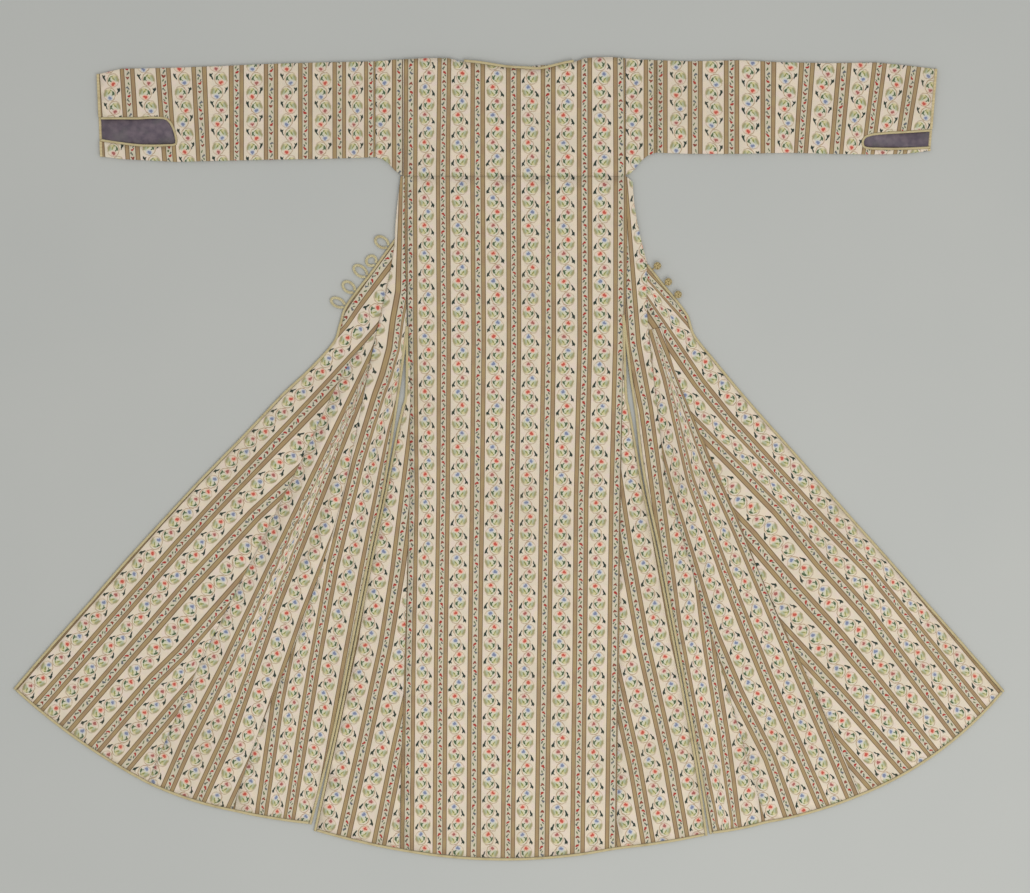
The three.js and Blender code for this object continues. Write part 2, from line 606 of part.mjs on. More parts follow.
// The cut of a cuff slit, through the upper layer alone and out past the cuff: all that lies
// inside the outer side of the slit's piping.
function slitCut(line, outward) {
  const reach = SLIT_PIPING.width / 2 + SEAM_GAP;
  const outline = line.map((p, i) => {
    const along = tangentAt(line, i);
    const out = new THREE.Vector2(along.y, -along.x).multiplyScalar(outward * reach);
    return out.add(new THREE.Vector2(p.x, p.y));
  });
  const beyond = (end, next) => end.clone().sub(next).setLength(SLIT_OVERRUN).add(end);
  outline[0] = beyond(outline[0], outline[1]);
  outline[outline.length - 1] = beyond(outline.at(-1), outline.at(-2));
  const depth = SLEEVE_DEPTH;
  const cut = new THREE.ExtrudeGeometry(new THREE.Shape(outline), { depth, bevelEnabled: false });
  cut.translate(0, 0, (WALL + LAYER_LIFT) / 2);
  return toManifold(cut);
}

// A sleeve: the tube, its slit and piping, the lining under the slit and the bound cuff.
function addSleeve(side, sections, slitPoints, cuff) {
  const outward = Math.sign(cuff.x);
  const inFromCuff = (distance) => ({ ...cuff, x: cuff.x - outward * distance });
  const line = smoothLine(slitPoints.map((p) => [p.x, p.y]), STEPS);
  const cut = slitCut(line, outward);
  const tube = toManifold(tubeWall([inFromCuff(bound), ...sections])).subtract(cut);
  addPiece(`sleeve_${side}`, fromManifold(tube), CLOTH);
  const binding = toManifold(tubeWall([cuff, inFromCuff(PIPING_WIDTH)])).subtract(cut);
  addPiece(`cuff_piping_${side}`, fromManifold(binding), PIPING);

  const onSlit = { ...SLIT_PIPING, base: () => LAYER_LIFT };
  addPiece(`cuff_slit_piping_${side}`, cordAlong(line, onSlit), PIPING);

  const inner = outward * (Math.min(...line.map((p) => p.x * outward)) - LINING_MARGIN);
  const low = Math.min(...line.map((p) => p.y));
  const high = Math.max(...line.map((p) => p.y)) + LINING_MARGIN;
  const outer = (y) => sectionX(inFromCuff(PIPING_WIDTH), y);
  const grid = [
    [new THREE.Vector3(inner, high, 0), new THREE.Vector3(inner, low, 0)],
    [new THREE.Vector3(outer(high), high, 0), new THREE.Vector3(outer(low), low, 0)],
  ];
  const lining = clothWall(grid, () => WALL + SEAM_GAP, () => LINING_WALL);
  addPiece(`cuff_lining_${side}`, lining, LINING);
}

addSleeve('left', SLEEVE_LEFT, SLIT_LEFT, CUFF_LEFT);
addSleeve('right', SLEEVE_RIGHT, SLIT_RIGHT, CUFF_RIGHT);
addPiece('sleeve_head_left', tubeWall(SLEEVE_HEAD_LEFT), CLOTH);
addPiece('sleeve_head_right', tubeWall(SLEEVE_HEAD_RIGHT), CLOTH);

// ---- Closure --------------------------------------------------------------------------

// Place on an edge that is nearest to a point, and the way from there to the point.
function rootOn(edge, [x, y]) {
  const point = new THREE.Vector3(x, y, 0);
  const fine = new THREE.CatmullRomCurve3(edge, false, 'centripetal').getPoints(400);
  const near = fine.reduce((a, b) => (b.distanceTo(point) < a.distanceTo(point) ? b : a));
  return { near, point, out: new THREE.Vector3().subVectors(point, near).normalize() };
}

for (const loop of LOOPS) {
  const { near, point, out } = rootOn(seams.openingLeft, loop.middle);
  const across = new THREE.Vector3(-out.y, out.x, 0);
  const reach = near.distanceTo(point) + loop.half - CORD / 2 - LOOP_SEAT;
  const width = (loop.width - CORD) / 2;
  const neck = Math.asin(LOOP_NECK / 2 / width);
  const steps = 18;
  const line = Array.from({ length: steps + 1 }, (unused, i) => {
    const angle = neck + (2 * i * (Math.PI - neck)) / steps;
    const share = (Math.cos(neck) - Math.cos(angle)) / (Math.cos(neck) + 1);
    const along = LOOP_SEAT + reach * share;
    const side = width * Math.sin(angle);
    return near.clone().addScaledVector(out, along).addScaledVector(across, side);
  });
  addPiece(loop.name, cordAlong(line, { width: CORD, height: CORD, base: flat }), BRAID);
}

for (const knot of KNOTS) {
  const { near, point, out } = rootOn(seams.openingRight, knot.ball);
  const ball = new THREE.IcosahedronGeometry(KNOT / 2, 2);
  ball.translate(point.x, point.y, KNOT / 2);
  const length = near.distanceTo(point) - SEAM_GAP;
  const shank = new THREE.CylinderGeometry(SHANK / 2, SHANK / 2, length, 8);
  shank.rotateZ(Math.atan2(out.y, out.x) - Math.PI / 2);
  const middle = point.clone().addScaledVector(out, -length / 2);
  shank.translate(middle.x, middle.y, SHANK / 2 + PIPING_CLEARANCE);
  addPiece(knot.name, fromManifold(toManifold(ball).add(toManifold(shank))), BRAID);
}

export default garment;
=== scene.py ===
import math
import bmesh
import bpy
import numpy as np
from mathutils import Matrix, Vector


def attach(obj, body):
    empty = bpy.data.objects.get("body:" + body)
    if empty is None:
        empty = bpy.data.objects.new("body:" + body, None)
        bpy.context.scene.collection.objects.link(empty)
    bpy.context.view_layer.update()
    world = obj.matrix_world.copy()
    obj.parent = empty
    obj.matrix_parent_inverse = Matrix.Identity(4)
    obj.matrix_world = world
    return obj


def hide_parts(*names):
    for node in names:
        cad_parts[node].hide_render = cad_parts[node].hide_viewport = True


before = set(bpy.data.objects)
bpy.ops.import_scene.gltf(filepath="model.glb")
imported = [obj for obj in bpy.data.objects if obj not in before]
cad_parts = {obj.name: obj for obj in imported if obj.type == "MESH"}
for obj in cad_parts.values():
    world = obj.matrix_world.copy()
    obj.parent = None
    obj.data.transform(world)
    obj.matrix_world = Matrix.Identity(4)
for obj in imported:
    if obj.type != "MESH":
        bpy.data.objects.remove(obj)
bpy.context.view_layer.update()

# ---- Back: straight panel, yoke and two gores -----------------------------------------------
# Striped, flowered silk and cotton over a thin lining, with the stripes running down the robe.
# The panel is sewn to a yoke across the shoulders and to a gore on each side below the waist.

MM = 0.001
CLOTH_WALL = 1.6
FINE_EDGE = 9.0      # longest edge of the finished cloth's mesh
MOST_HALVINGS = 30   # passes in which the longest edges are split in two
LAYER_LIFT = 3.2     # underside of the back above the surface, where the fronts lie below it
WAIST_TOP = 222.5    # height up the robe where the back starts to sink
WAIST_DROP = 160.0   # length over which it sinks
BACK_WAVES = 0.7     # height of the low waves in the back
WELD = 0.02          # distance within which a solid's loose corners are joined


def rise(value):
    """A smooth step from 0 to 1."""
    t = np.clip(value, 0.0, 1.0)
    return t * t * (3.0 - 2.0 * t)


def near_line(x, y, line, open_ended=False):
    """Distance of points to a line, positive on its left, their place along it, and its length."""
    corners = np.array(line, dtype=float)
    nearest = np.full(x.shape, np.inf)
    side = np.ones(x.shape)
    along = np.zeros(x.shape)
    run = 0.0
    last = len(corners) - 2
    for i in range(last + 1):
        start = corners[i]
        span = corners[i + 1] - start
        length = math.hypot(*span)
        low = -np.inf if open_ended and i == 0 else 0.0
        high = np.inf if open_ended and i == last else 1.0
        share = np.clip(((x - start[0]) * span[0] + (y - start[1]) * span[1]) / length ** 2, low, high)
        dx = x - start[0] - share * span[0]
        dy = y - start[1] - share * span[1]
        gap = np.hypot(dx, dy)
        nearer = gap < nearest
        nearest = np.where(nearer, gap, nearest)
        side = np.where(nearer, np.sign(span[0] * dy - span[1] * dx), side)
        along = np.where(nearer, run + share * length, along)
        run += length
    return nearest * side, along, run


def folded(x, y, folds):
    """Height of rounded folds: each a crest line, a height, a half-width, and how it rises and fades."""
    height = np.zeros(x.shape)
    for crest, top, half, onset, fade in folds:
        gap, along, run = near_line(x, y, crest)
        share = along / run
        ridge = np.cos(np.clip(np.abs(gap) / half, 0.0, 1.0) * math.pi / 2) ** 2
        height += top * ridge * rise(share / onset) * rise((1.0 - share) / fade)
    return height


def unevenness(x, y, size):
    """Low waves that keep laid cloth from being quite flat."""
    wave = np.sin(x / 21.0 + 1.7 * np.sin(y / 67.0)) * np.sin(y / 38.0 + 1.3 * np.sin(x / 45.0))
    ripple = np.sin((x + 0.4 * y) / 13.0) * np.sin((y - 0.3 * x) / 17.0 + 2.0)
    return size * (1.4 + 0.9 * wave + 0.5 * ripple) / 2.8


def fine_copy(node, name, longest=FINE_EDGE):
    """A node's solid as one joined, finely divided mesh; `upper` is 1 on its upper face, 0 below."""
    shape = bmesh.new()
    shape.from_mesh(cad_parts[node].data)
    bmesh.ops.remove_doubles(shape, verts=shape.verts, dist=WELD * MM)
    upper = shape.verts.layers.float.new("upper")
    for vert in shape.verts:
        vert[upper] = float(any(face.normal.z > 0.3 for face in vert.link_faces))
    for halving in range(MOST_HALVINGS):
        lengths = {edge: edge.calc_length() for edge in shape.edges}
        coarse = sorted((e for e in shape.edges if lengths[e] > longest * MM), key=lambda e: -lengths[e])
        split, touched = [], set()
        for edge in coarse:
            if not touched.intersection(edge.link_faces):
                split.append(edge)
                touched.update(edge.link_faces)
        if not split:
            break
        bmesh.ops.subdivide_edges(shape, edges=split, cuts=1)
    bmesh.ops.triangulate(shape, faces=[face for face in shape.faces if len(face.verts) > 3])
    mesh = bpy.data.meshes.new(name)
    shape.to_mesh(mesh)
    shape.free()
    piece = bpy.data.objects.new(name, mesh)
    bpy.context.scene.collection.objects.link(piece)
    return piece


def read_points(piece):
    """The mesh's points in millimetres."""
    points = np.empty(len(piece.data.vertices) * 3)
    piece.data.vertices.foreach_get("co", points)
    return points.reshape(-1, 3) / MM


def write_points(piece, points):
    piece.data.vertices.foreach_set("co", (points * MM).ravel())
    piece.data.update()


def read_upper(piece):
    upper = np.empty(len(piece.data.vertices))
    piece.data.attributes["upper"].data.foreach_get("value", upper)
    return upper


STRIPE_REPEAT = 60.4  # across the cloth, from the middle of one brown band to the next


def lay_stripes(piece, bands):
    """The cloth's own coordinates: across it from band to band, and along the bands' run."""
    points = read_points(piece)
    x, y = points[:, 0], points[:, 1]
    heading = np.array(bands[0][1][-1], dtype=float) - np.array(bands[0][1][0], dtype=float)
    heading /= math.hypot(*heading)
    measured = []
    for number, line in bands:
        gap, run_along, unused = near_line(x, y, line, open_ended=True)
        measured.append((number * STRIPE_REPEAT, gap, run_along + float(np.dot(heading, line[0]))))
    across = measured[0][0] + measured[0][1]
    along = measured[0][2]
    for (place, gap, run_along), (next_place, next_gap, next_along) in zip(measured, measured[1:]):
        beyond = gap > 0.0
        width = gap - next_gap
        share = np.where(np.abs(width) > 0.001, gap / np.where(np.abs(width) > 0.001, width, 1.0), 0.0)
        held = np.clip(share, 0.0, 1.0)
        across = np.where(beyond, place + (next_place - place) * held, across)
        along = np.where(beyond, run_along + (next_along - run_along) * held, along)
    place, gap, run_along = measured[-1]
    across = np.where(gap > 0.0, place + gap, across)
    along = np.where(gap > 0.0, run_along, along)
    corner = np.empty(len(piece.data.loops), dtype=np.int32)
    piece.data.loops.foreach_get("vertex_index", corner)
    chart = np.stack([across[corner], along[corner]], axis=1) * MM
    piece.data.uv_layers.new(name="cloth").data.foreach_set("uv", chart.ravel())


def linear(*shade):
    """A colour given as 0 to 255 screen values, as the shader wants it."""
    parts = [value / 255 for value in shade]
    return [v / 12.92 if v <= 0.04045 else ((v + 0.055) / 1.055) ** 2.4 for v in parts] + [1.0]


def math_node(tree, operation, *inputs):
    node = tree.nodes.new("ShaderNodeMath")
    node.operation = operation
    for socket, value in zip(node.inputs, inputs):
        if isinstance(value, bpy.types.NodeSocket):
            tree.links.new(value, socket)
        else:
            socket.default_value = value
    return node.outputs[0]


def soft_step(tree, value, low, high, start=0.0, end=1.0):
    """`start` below `low`, `end` above `high`, and an even slope between."""
    node = tree.nodes.new("ShaderNodeMapRange")
    tree.links.new(value, node.inputs["Value"])
    node.inputs["From Min"].default_value = low
    node.inputs["From Max"].default_value = high
    node.inputs["To Min"].default_value = start
    node.inputs["To Max"].default_value = end
    return node.outputs["Result"]


def oval(tree, place, middle, half, turn=0.0):
    """Reach of a point in an oval: 1 on its rim. Middle and half sizes in millimetres."""
    fit = tree.nodes.new("ShaderNodeMapping")
    fit.vector_type = "TEXTURE"
    fit.inputs["Location"].default_value = (*middle, 0.0)
    fit.inputs["Rotation"].default_value = (0.0, 0.0, turn)
    fit.inputs["Scale"].default_value = (*half, 1.0)
    tree.links.new(place, fit.inputs["Vector"])
    reach = tree.nodes.new("ShaderNodeVectorMath")
    reach.operation = "LENGTH"
    tree.links.new(fit.outputs["Vector"], reach.inputs[0])
    return reach.outputs["Value"]


def any_of(tree, *reaches):
    joined = reaches[0]
    for reach in reaches[1:]:
        joined = math_node(tree, "MINIMUM", joined, reach)
    return joined


def paint(tree, under, colour, share):
    """One colour laid over another by a share."""
    node = tree.nodes.new("ShaderNodeMix")
    node.data_type = "RGBA"
    if isinstance(share, bpy.types.NodeSocket):
        tree.links.new(share, node.inputs["Factor"])
    else:
        node.inputs["Factor"].default_value = share
    for value, name in ((under, "A"), (colour, "B")):
        socket = next(s for s in node.inputs if s.name == name and s.type == "RGBA")
        if isinstance(value, bpy.types.NodeSocket):
            tree.links.new(value, socket)
        else:
            socket.default_value = value
    return next(s for s in node.outputs if s.type == "RGBA")


def pick(tree, value, colours):
    """One of some colours by a number from 0 to 1."""
    node = tree.nodes.new("ShaderNodeValToRGB")
    ramp = node.color_ramp
    ramp.interpolation = "CONSTANT"
    while len(ramp.elements) < len(colours):
        ramp.elements.new(0.5)
    for i, colour in enumerate(colours):
        ramp.elements[i].position = i / len(colours)
        ramp.elements[i].color = colour
    tree.links.new(value, node.inputs["Fac"])
    return node.outputs["Color"]


def noise(tree, place, scale, detail=2.0):
    node = tree.nodes.new("ShaderNodeTexNoise")
    node.inputs["Scale"].default_value = scale
    node.inputs["Detail"].default_value = detail
    tree.links.new(place, node.inputs["Vector"])
    return node


def combine(tree, x, y):
    node = tree.nodes.new("ShaderNodeCombineXYZ")
    tree.links.new(x, node.inputs["X"])
    tree.links.new(y, node.inputs["Y"])
    return node.outputs["Vector"]


def new_material(name):
    material = bpy.data.materials.new(name)
    material.use_nodes = True
    tree = material.node_tree
    tree.nodes.clear()
    shader = tree.nodes.new("ShaderNodeBsdfPrincipled")
    output = tree.nodes.new("ShaderNodeOutputMaterial")
    tree.links.new(shader.outputs["BSDF"], output.inputs["Surface"])
    return material, tree, shader


def raise_by(tree, shader, height, distance):
    """Fine relief on a finish: height from 0 to 1, over a distance in metres."""
    bump = tree.nodes.new("ShaderNodeBump")
    bump.inputs["Distance"].default_value = distance
    bump.inputs["Strength"].default_value = 1.0
    tree.links.new(height, bump.inputs["Height"])
    tree.links.new(bump.outputs["Normal"], shader.inputs["Normal"])


VINE_UNIT = 24.2      # along the cloth, from one flower of the vine to the next
STRIPE_MIDDLE = 8.8   # brown stripe's middle from the middle of its band
STRIPE_HALF = 3.9
STRIP_UNIT = 47.0     # along an even band, before its strip's sprigs repeat
STRIP_SHORTER = 16.0  # how much shorter that is in an odd band
STRIP_SHIFT = 11.0    # along the cloth, between the sprigs of neighbouring bands
WAVER = 3.2           # whole range in which the figures waver
RIB_PITCH = 0.9       # of the weave's ribs, across the cloth
PICK_PITCH = 0.7      # of its picks, along the cloth


def striped_cloth():
    """Cream ground with a flowering vine between bands, each two brown stripes and a sprigged strip."""
    material, tree, shader = new_material("striped_cloth")
    chart = tree.nodes.new("ShaderNodeUVMap")
    chart.uv_map = "cloth"
    in_mm = tree.nodes.new("ShaderNodeVectorMath")
    in_mm.operation = "SCALE"
    in_mm.inputs["Scale"].default_value = 1 / MM
    tree.links.new(chart.outputs["UV"], in_mm.inputs[0])

    # Hand weaving is never quite even: the figures waver by about a millimetre.
    waver = noise(tree, in_mm.outputs["Vector"], 0.22, 1.0)
    centred = tree.nodes.new("ShaderNodeVectorMath")
    centred.operation = "MULTIPLY_ADD"
    centred.inputs[1].default_value = (WAVER, WAVER, 0.0)
    tree.links.new(waver.outputs["Color"], centred.inputs[0])
    tree.links.new(in_mm.outputs["Vector"], centred.inputs[2])
    plain = tree.nodes.new("ShaderNodeSeparateXYZ")
    tree.links.new(in_mm.outputs["Vector"], plain.inputs[0])
    wavered = tree.nodes.new("ShaderNodeSeparateXYZ")
    tree.links.new(centred.outputs["Vector"], wavered.inputs[0])
    across = plain.outputs["X"]
    figure_across = math_node(tree, "SUBTRACT", wavered.outputs["X"], WAVER / 2)
    figure_along = wavered.outputs["Y"]

    # Ground: cream with warmer and pinker patches.
    patches = noise(tree, in_mm.outputs["Vector"], 0.05, 3.0)
    ground = paint(tree, linear(222, 210, 188), linear(230, 214, 190), soft_step(
        tree, patches.outputs["Fac"], 0.42, 0.62))
    pinkish = noise(tree, in_mm.outputs["Vector"], 0.083, 1.0)
    ground = paint(tree, ground, linear(228, 210, 196), soft_step(
        tree, pinkish.outputs["Fac"], 0.5, 0.68, 0.0, 0.8))

    # The vine: units of one flower in its wreath, turned to the right and the left by turns.
    vine = math_node(tree, "FLOOR", math_node(tree, "DIVIDE", across, STRIPE_REPEAT))
    vine_middle = math_node(tree, "MULTIPLY", math_node(tree, "ADD", vine, 0.5), STRIPE_REPEAT)
    beside = math_node(tree, "SUBTRACT", figure_across, vine_middle)
    run = math_node(tree, "ADD", figure_along, math_node(tree, "MULTIPLY", vine, 2 * VINE_UNIT))
    unit = math_node(tree, "FLOOR", math_node(tree, "DIVIDE", run, VINE_UNIT))
    down = math_node(tree, "FLOORED_MODULO", run, VINE_UNIT)
    hand = math_node(tree, "SUBTRACT", 1.0, math_node(
        tree, "MULTIPLY", math_node(tree, "FLOORED_MODULO", unit, 2.0), 2.0))
    out = math_node(tree, "MULTIPLY", math_node(tree, "ADD", beside, 1.0), hand)
    place = combine(tree, out, down)

    def drawn(cloth, colour, reach, softness=0.16, share=1.0):
        cover = soft_step(tree, reach, 1.0 - softness, 1.0 + softness, share, 0.0)
        return paint(tree, cloth, colour, cover)

    cloth = ground
    ring = oval(tree, place, (3.6, 12.0), (10.2, 11.8))
    rim = math_node(tree, "ABSOLUTE", math_node(tree, "SUBTRACT", ring, 1.0))
    stem_side = soft_step(tree, out, 2.0, 12.0, 0.85, 0.4)
    stem = math_node(tree, "MULTIPLY", soft_step(tree, rim, 0.03, 0.1, 1.0, 0.0), stem_side)
    cloth = drawn(cloth, linear(206, 208, 182), oval(tree, place, (3.2, 13.6), (6.8, 7.2), 0.3), 0.35, 0.75)
    cloth = drawn(cloth, linear(210, 198, 146), oval(tree, place, (5.2, 17.2), (3.4, 4.2), -0.5), 0.3, 0.9)
    cloth = paint(tree, cloth, linear(166, 136, 100), stem)
    cloth = drawn(cloth, linear(152, 148, 98), oval(tree, place, (10.9, 14.6), (2.2, 6.0), 0.35), 0.3, 0.9)
    cloth = drawn(cloth, linear(172, 180, 150), oval(tree, place, (8.4, 13.4), (1.8, 4.6), 0.3), 0.3, 0.8)
    cloth = drawn(cloth, linear(76, 98, 66), any_of(
        tree, oval(tree, place, (-2.8, 13.4), (1.7, 4.0), -0.35),
        oval(tree, place, (-0.6, 10.6), (0.9, 2.4), 0.7)))
    cloth = drawn(cloth, linear(140, 146, 84), any_of(
        tree, oval(tree, place, (4.8, 14.6), (1.1, 3.8), 0.55),
        oval(tree, place, (1.2, 18.6), (1.0, 2.6), -0.9)))
    flower_kind = math_node(tree, "DIVIDE", math_node(
        tree, "ADD", math_node(tree, "FLOORED_MODULO", unit, 3.0), 0.5), 3.0)
    petals = pick(tree, flower_kind, [linear(196, 198, 200), linear(232, 176, 152), linear(222, 186, 170)])
    heart = pick(tree, flower_kind, [linear(126, 134, 160), linear(196, 84, 68), linear(166, 96, 88)])
    cloth = drawn(cloth, petals, oval(tree, place, (3.6, 5.4), (4.8, 4.5), 0.3), 0.2)
    cloth = drawn(cloth, heart, any_of(
        tree, oval(tree, place, (2.6, 5.0), (1.8, 2.5), 0.4), oval(tree, place, (4.7, 6.0), (2.1, 2.0)),
        oval(tree, place, (3.6, 3.4), (1.2, 1.5))))
    cloth = drawn(cloth, linear(38, 54, 44), any_of(
        tree, oval(tree, place, (-11.6, 16.4), (1.3, 6.6), 0.42),
        oval(tree, place, (-12.6, 18.4), (2.1, 3.3), 0.42),
        oval(tree, place, (-10.6, 19.6), (0.9, 2.4), -0.45)))

    # The narrow strip in the middle of each band: red blossoms, grey sprigs and green leaves.
    band = math_node(tree, "ROUND", math_node(tree, "DIVIDE", across, STRIPE_REPEAT))
    band_middle = math_node(tree, "MULTIPLY", band, STRIPE_REPEAT)
    off_band = math_node(tree, "SUBTRACT", figure_across, band_middle)
    odd = math_node(tree, "FLOORED_MODULO", band, 2.0)
    strip_unit = math_node(tree, "ADD", STRIP_UNIT, math_node(tree, "MULTIPLY", odd, -STRIP_SHORTER))
    strip_run = math_node(tree, "ADD", figure_along, math_node(tree, "MULTIPLY", band, STRIP_SHIFT))
    strip_down = math_node(tree, "FLOORED_MODULO", strip_run, strip_unit)
    strip_count = math_node(tree, "FLOOR", math_node(tree, "DIVIDE", strip_run, strip_unit))
    strip_hand = math_node(tree, "SUBTRACT", 1.0, math_node(
        tree, "MULTIPLY", math_node(tree, "FLOORED_MODULO", strip_count, 2.0), 2.0))
    sprig = combine(tree, math_node(tree, "MULTIPLY", off_band, strip_hand), strip_down)
    strip = paint(tree, ground, linear(194, 188, 162), 0.6)
    strip = drawn(strip, linear(140, 66, 50), any_of(
        tree, oval(tree, sprig, (-0.8, 4.0), (1.5, 3.2), 0.8),
        oval(tree, sprig, (1.0, 4.4), (1.4, 3.1), -0.7)))
    strip = drawn(strip, linear(96, 102, 88), any_of(
        tree, oval(tree, sprig, (-0.5, 11.0), (1.2, 3.0), 0.6),
        oval(tree, sprig, (-2.4, 13.6), (1.2, 2.2), -0.7),
        oval(tree, sprig, (1.8, 24.6), (1.2, 2.6), -0.6)))
    strip = drawn(strip, linear(168, 48, 38), any_of(
        tree, oval(tree, sprig, (0.2, 18.8), (2.6, 1.9), 0.3),
        oval(tree, sprig, (1.9, 20.2), (1.3, 2.6), -0.5)))
    strip = drawn(strip, linear(98, 102, 106), any_of(
        tree, oval(tree, sprig, (-0.4, 33.0), (1.5, 3.0), 0.7),
        oval(tree, sprig, (-2.2, 34.4), (1.2, 2.3), -0.7)))
    strip = drawn(strip, linear(96, 110, 72), any_of(
        tree, oval(tree, sprig, (1.6, 41.0), (1.2, 3.2), 0.4),
        oval(tree, sprig, (-1.2, 28.0), (1.2, 2.5), -0.5)))

    # The brown stripes: tan with darker edge lines, yellower and redder in patches.
    off_middle = math_node(tree, "ABSOLUTE", math_node(tree, "SUBTRACT", across, band_middle))
    off_stripe = math_node(tree, "ABSOLUTE", math_node(tree, "SUBTRACT", off_middle, STRIPE_MIDDLE))
    ageing = noise(tree, in_mm.outputs["Vector"], 0.03, 2.0)
    brown = paint(tree, linear(172, 148, 104), linear(164, 136, 102), soft_step(
        tree, ageing.outputs["Fac"], 0.4, 0.6))
    brown = paint(tree, brown, linear(112, 90, 60), soft_step(
        tree, off_stripe, STRIPE_HALF - 1.7, STRIPE_HALF - 1.2, 0.0, 0.9))
    brown = paint(tree, brown, linear(150, 124, 92), soft_step(tree, off_stripe, 0.3, 0.8, 0.4, 0.0))
    on_stripe = soft_step(tree, off_stripe, STRIPE_HALF - 0.25, STRIPE_HALF + 0.25, 1.0, 0.0)
    in_strip = math_node(tree, "LESS_THAN", off_middle, STRIPE_MIDDLE)
    cloth = paint(tree, cloth, strip, in_strip)
    cloth = paint(tree, cloth, brown, on_stripe)

    # Age: a faint grey and yellow unevenness over the whole robe.
    body = tree.nodes.new("ShaderNodeTexCoord")
    stains = noise(tree, body.outputs["Object"], 5.0, 4.0)
    aged = paint(tree, cloth, linear(150, 132, 96), soft_step(
        tree, stains.outputs["Fac"], 0.5, 0.75, 0.0, 0.16))
    tree.links.new(aged, shader.inputs["Base Color"])

    # Weave: fine ribs along and across, the brown stripes a little proud.
    ribs = math_node(tree, "SINE", math_node(tree, "MULTIPLY", across, 2 * math.pi / RIB_PITCH))
    picks = math_node(tree, "SINE", math_node(
        tree, "MULTIPLY", plain.outputs["Y"], 2 * math.pi / PICK_PITCH))
    weave = math_node(tree, "MULTIPLY_ADD", math_node(tree, "ADD", ribs, picks), 0.12, 0.5)
    height = math_node(tree, "MULTIPLY_ADD", on_stripe, 0.4, weave)
    raise_by(tree, shader, height, 0.0002)
    shader.inputs["Roughness"].default_value = 0.72
    shader.inputs["Specular IOR Level"].default_value = 0.32
    shader.inputs["Sheen Weight"].default_value = 0.12
    shader.inputs["Sheen Roughness"].default_value = 0.5
    return material


STRIPED = striped_cloth()

# Middle lines of the brown bands, top to hem, in millimetres: the same loom width throughout.
BACK_BANDS = [
    (0, [(-171, 698), (-172, 495), (-172, 208), (-169, -72), (-175, -369), (-178, -684)]),
    (1, [(-113, 698), (-116, 495), (-114, 208), (-116, -72), (-120, -369), (-122, -684)]),
    (2, [(-55, 698), (-55, 495), (-53, 208), (-56, -72), (-60, -369), (-62, -684)]),
    (3, [(8, 698), (8, 495), (9, 208), (5, -72), (2, -369), (-2, -684)]),
    (4, [(68, 698), (68, 495), (69, 208), (65, -72), (61, -369), (57, -684)]),
    (5, [(132, 698), (132, 495), (133, 208), (126, -72), (124, -369), (120, -684)]),
    (6, [(195, 698), (196, 495), (195, 208), (188, -72), (184, -369), (180, -684)]),
]
GORE_LEFT_BANDS = [
    (0, [(-175, -33), (-196, -200), (-216, -326), (-252, -492), (-285, -639)]),
    (1, [(-139, -250), (-170, -404), (-191, -492), (-222, -648)]),
]
GORE_RIGHT_BANDS = [
    (0, [(178, 20), (194, -89), (205, -159), (235, -326), (280, -527), (301, -649)]),
]


def back_height(x, y):
    """Underside of the back: up on the fronts above the waist, down on the surface below it."""
    return LAYER_LIFT * rise((y - WAIST_TOP + WAIST_DROP) / WAIST_DROP) + unevenness(x, y, BACK_WAVES)


def sew_panel(node, base, wall, bands):
    """A panel of striped cloth in a node's place, its underside at the height that `base` gives."""
    piece = fine_copy(node, f"{node}_cloth")
    points = read_points(piece)
    x, y = points[:, 0], points[:, 1]
    points[:, 2] = base(x, y) + read_upper(piece) * wall(x, y)
    write_points(piece, points)
    lay_stripes(piece, bands)
    finish_cloth(piece, node)


def finish_cloth(piece, node):
    piece.data.materials.append(STRIPED)
    for face in piece.data.polygons:
        face.use_smooth = True
    bpy.ops.object.select_all(action="DESELECT")
    piece.select_set(True)
    bpy.context.view_layer.objects.active = piece
    bpy.ops.object.shade_smooth_by_angle(angle=math.radians(40))
    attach(piece, "root")
    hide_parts(node)


def single_wall(x, y):
    return np.full(x.shape, CLOTH_WALL)


sew_panel("back_panel", back_height, single_wall, BACK_BANDS)
sew_panel("back_yoke", back_height, single_wall, BACK_BANDS)
sew_panel("back_gore_left", back_height, single_wall, GORE_LEFT_BANDS)
sew_panel("back_gore_right", back_height, single_wall, GORE_RIGHT_BANDS)

# ---- Upper fronts ---------------------------------------------------------------------------
# The two fronts, each with its facing and lining, lie pressed flat under the back.
# Their cut is one with the front skirts; only an edge of them shows, at the neck and waist.

FRONT_LAYERS = 2.9


def on_surface(x, y):
    return np.zeros(x.shape)


def front_layers(x, y):
    return np.full(x.shape, FRONT_LAYERS)


sew_panel("front_bodice_left", on_surface, front_layers, BACK_BANDS)
sew_panel("front_bodice_right", on_surface, front_layers, BACK_BANDS)

# ---- Front skirts ---------------------------------------------------------------------------
# Each side is a long front cut on the slant, a gore and a side gore, spread out to the side.
# Soft folds and two sharper creases fan down on each side and die away before the hem.

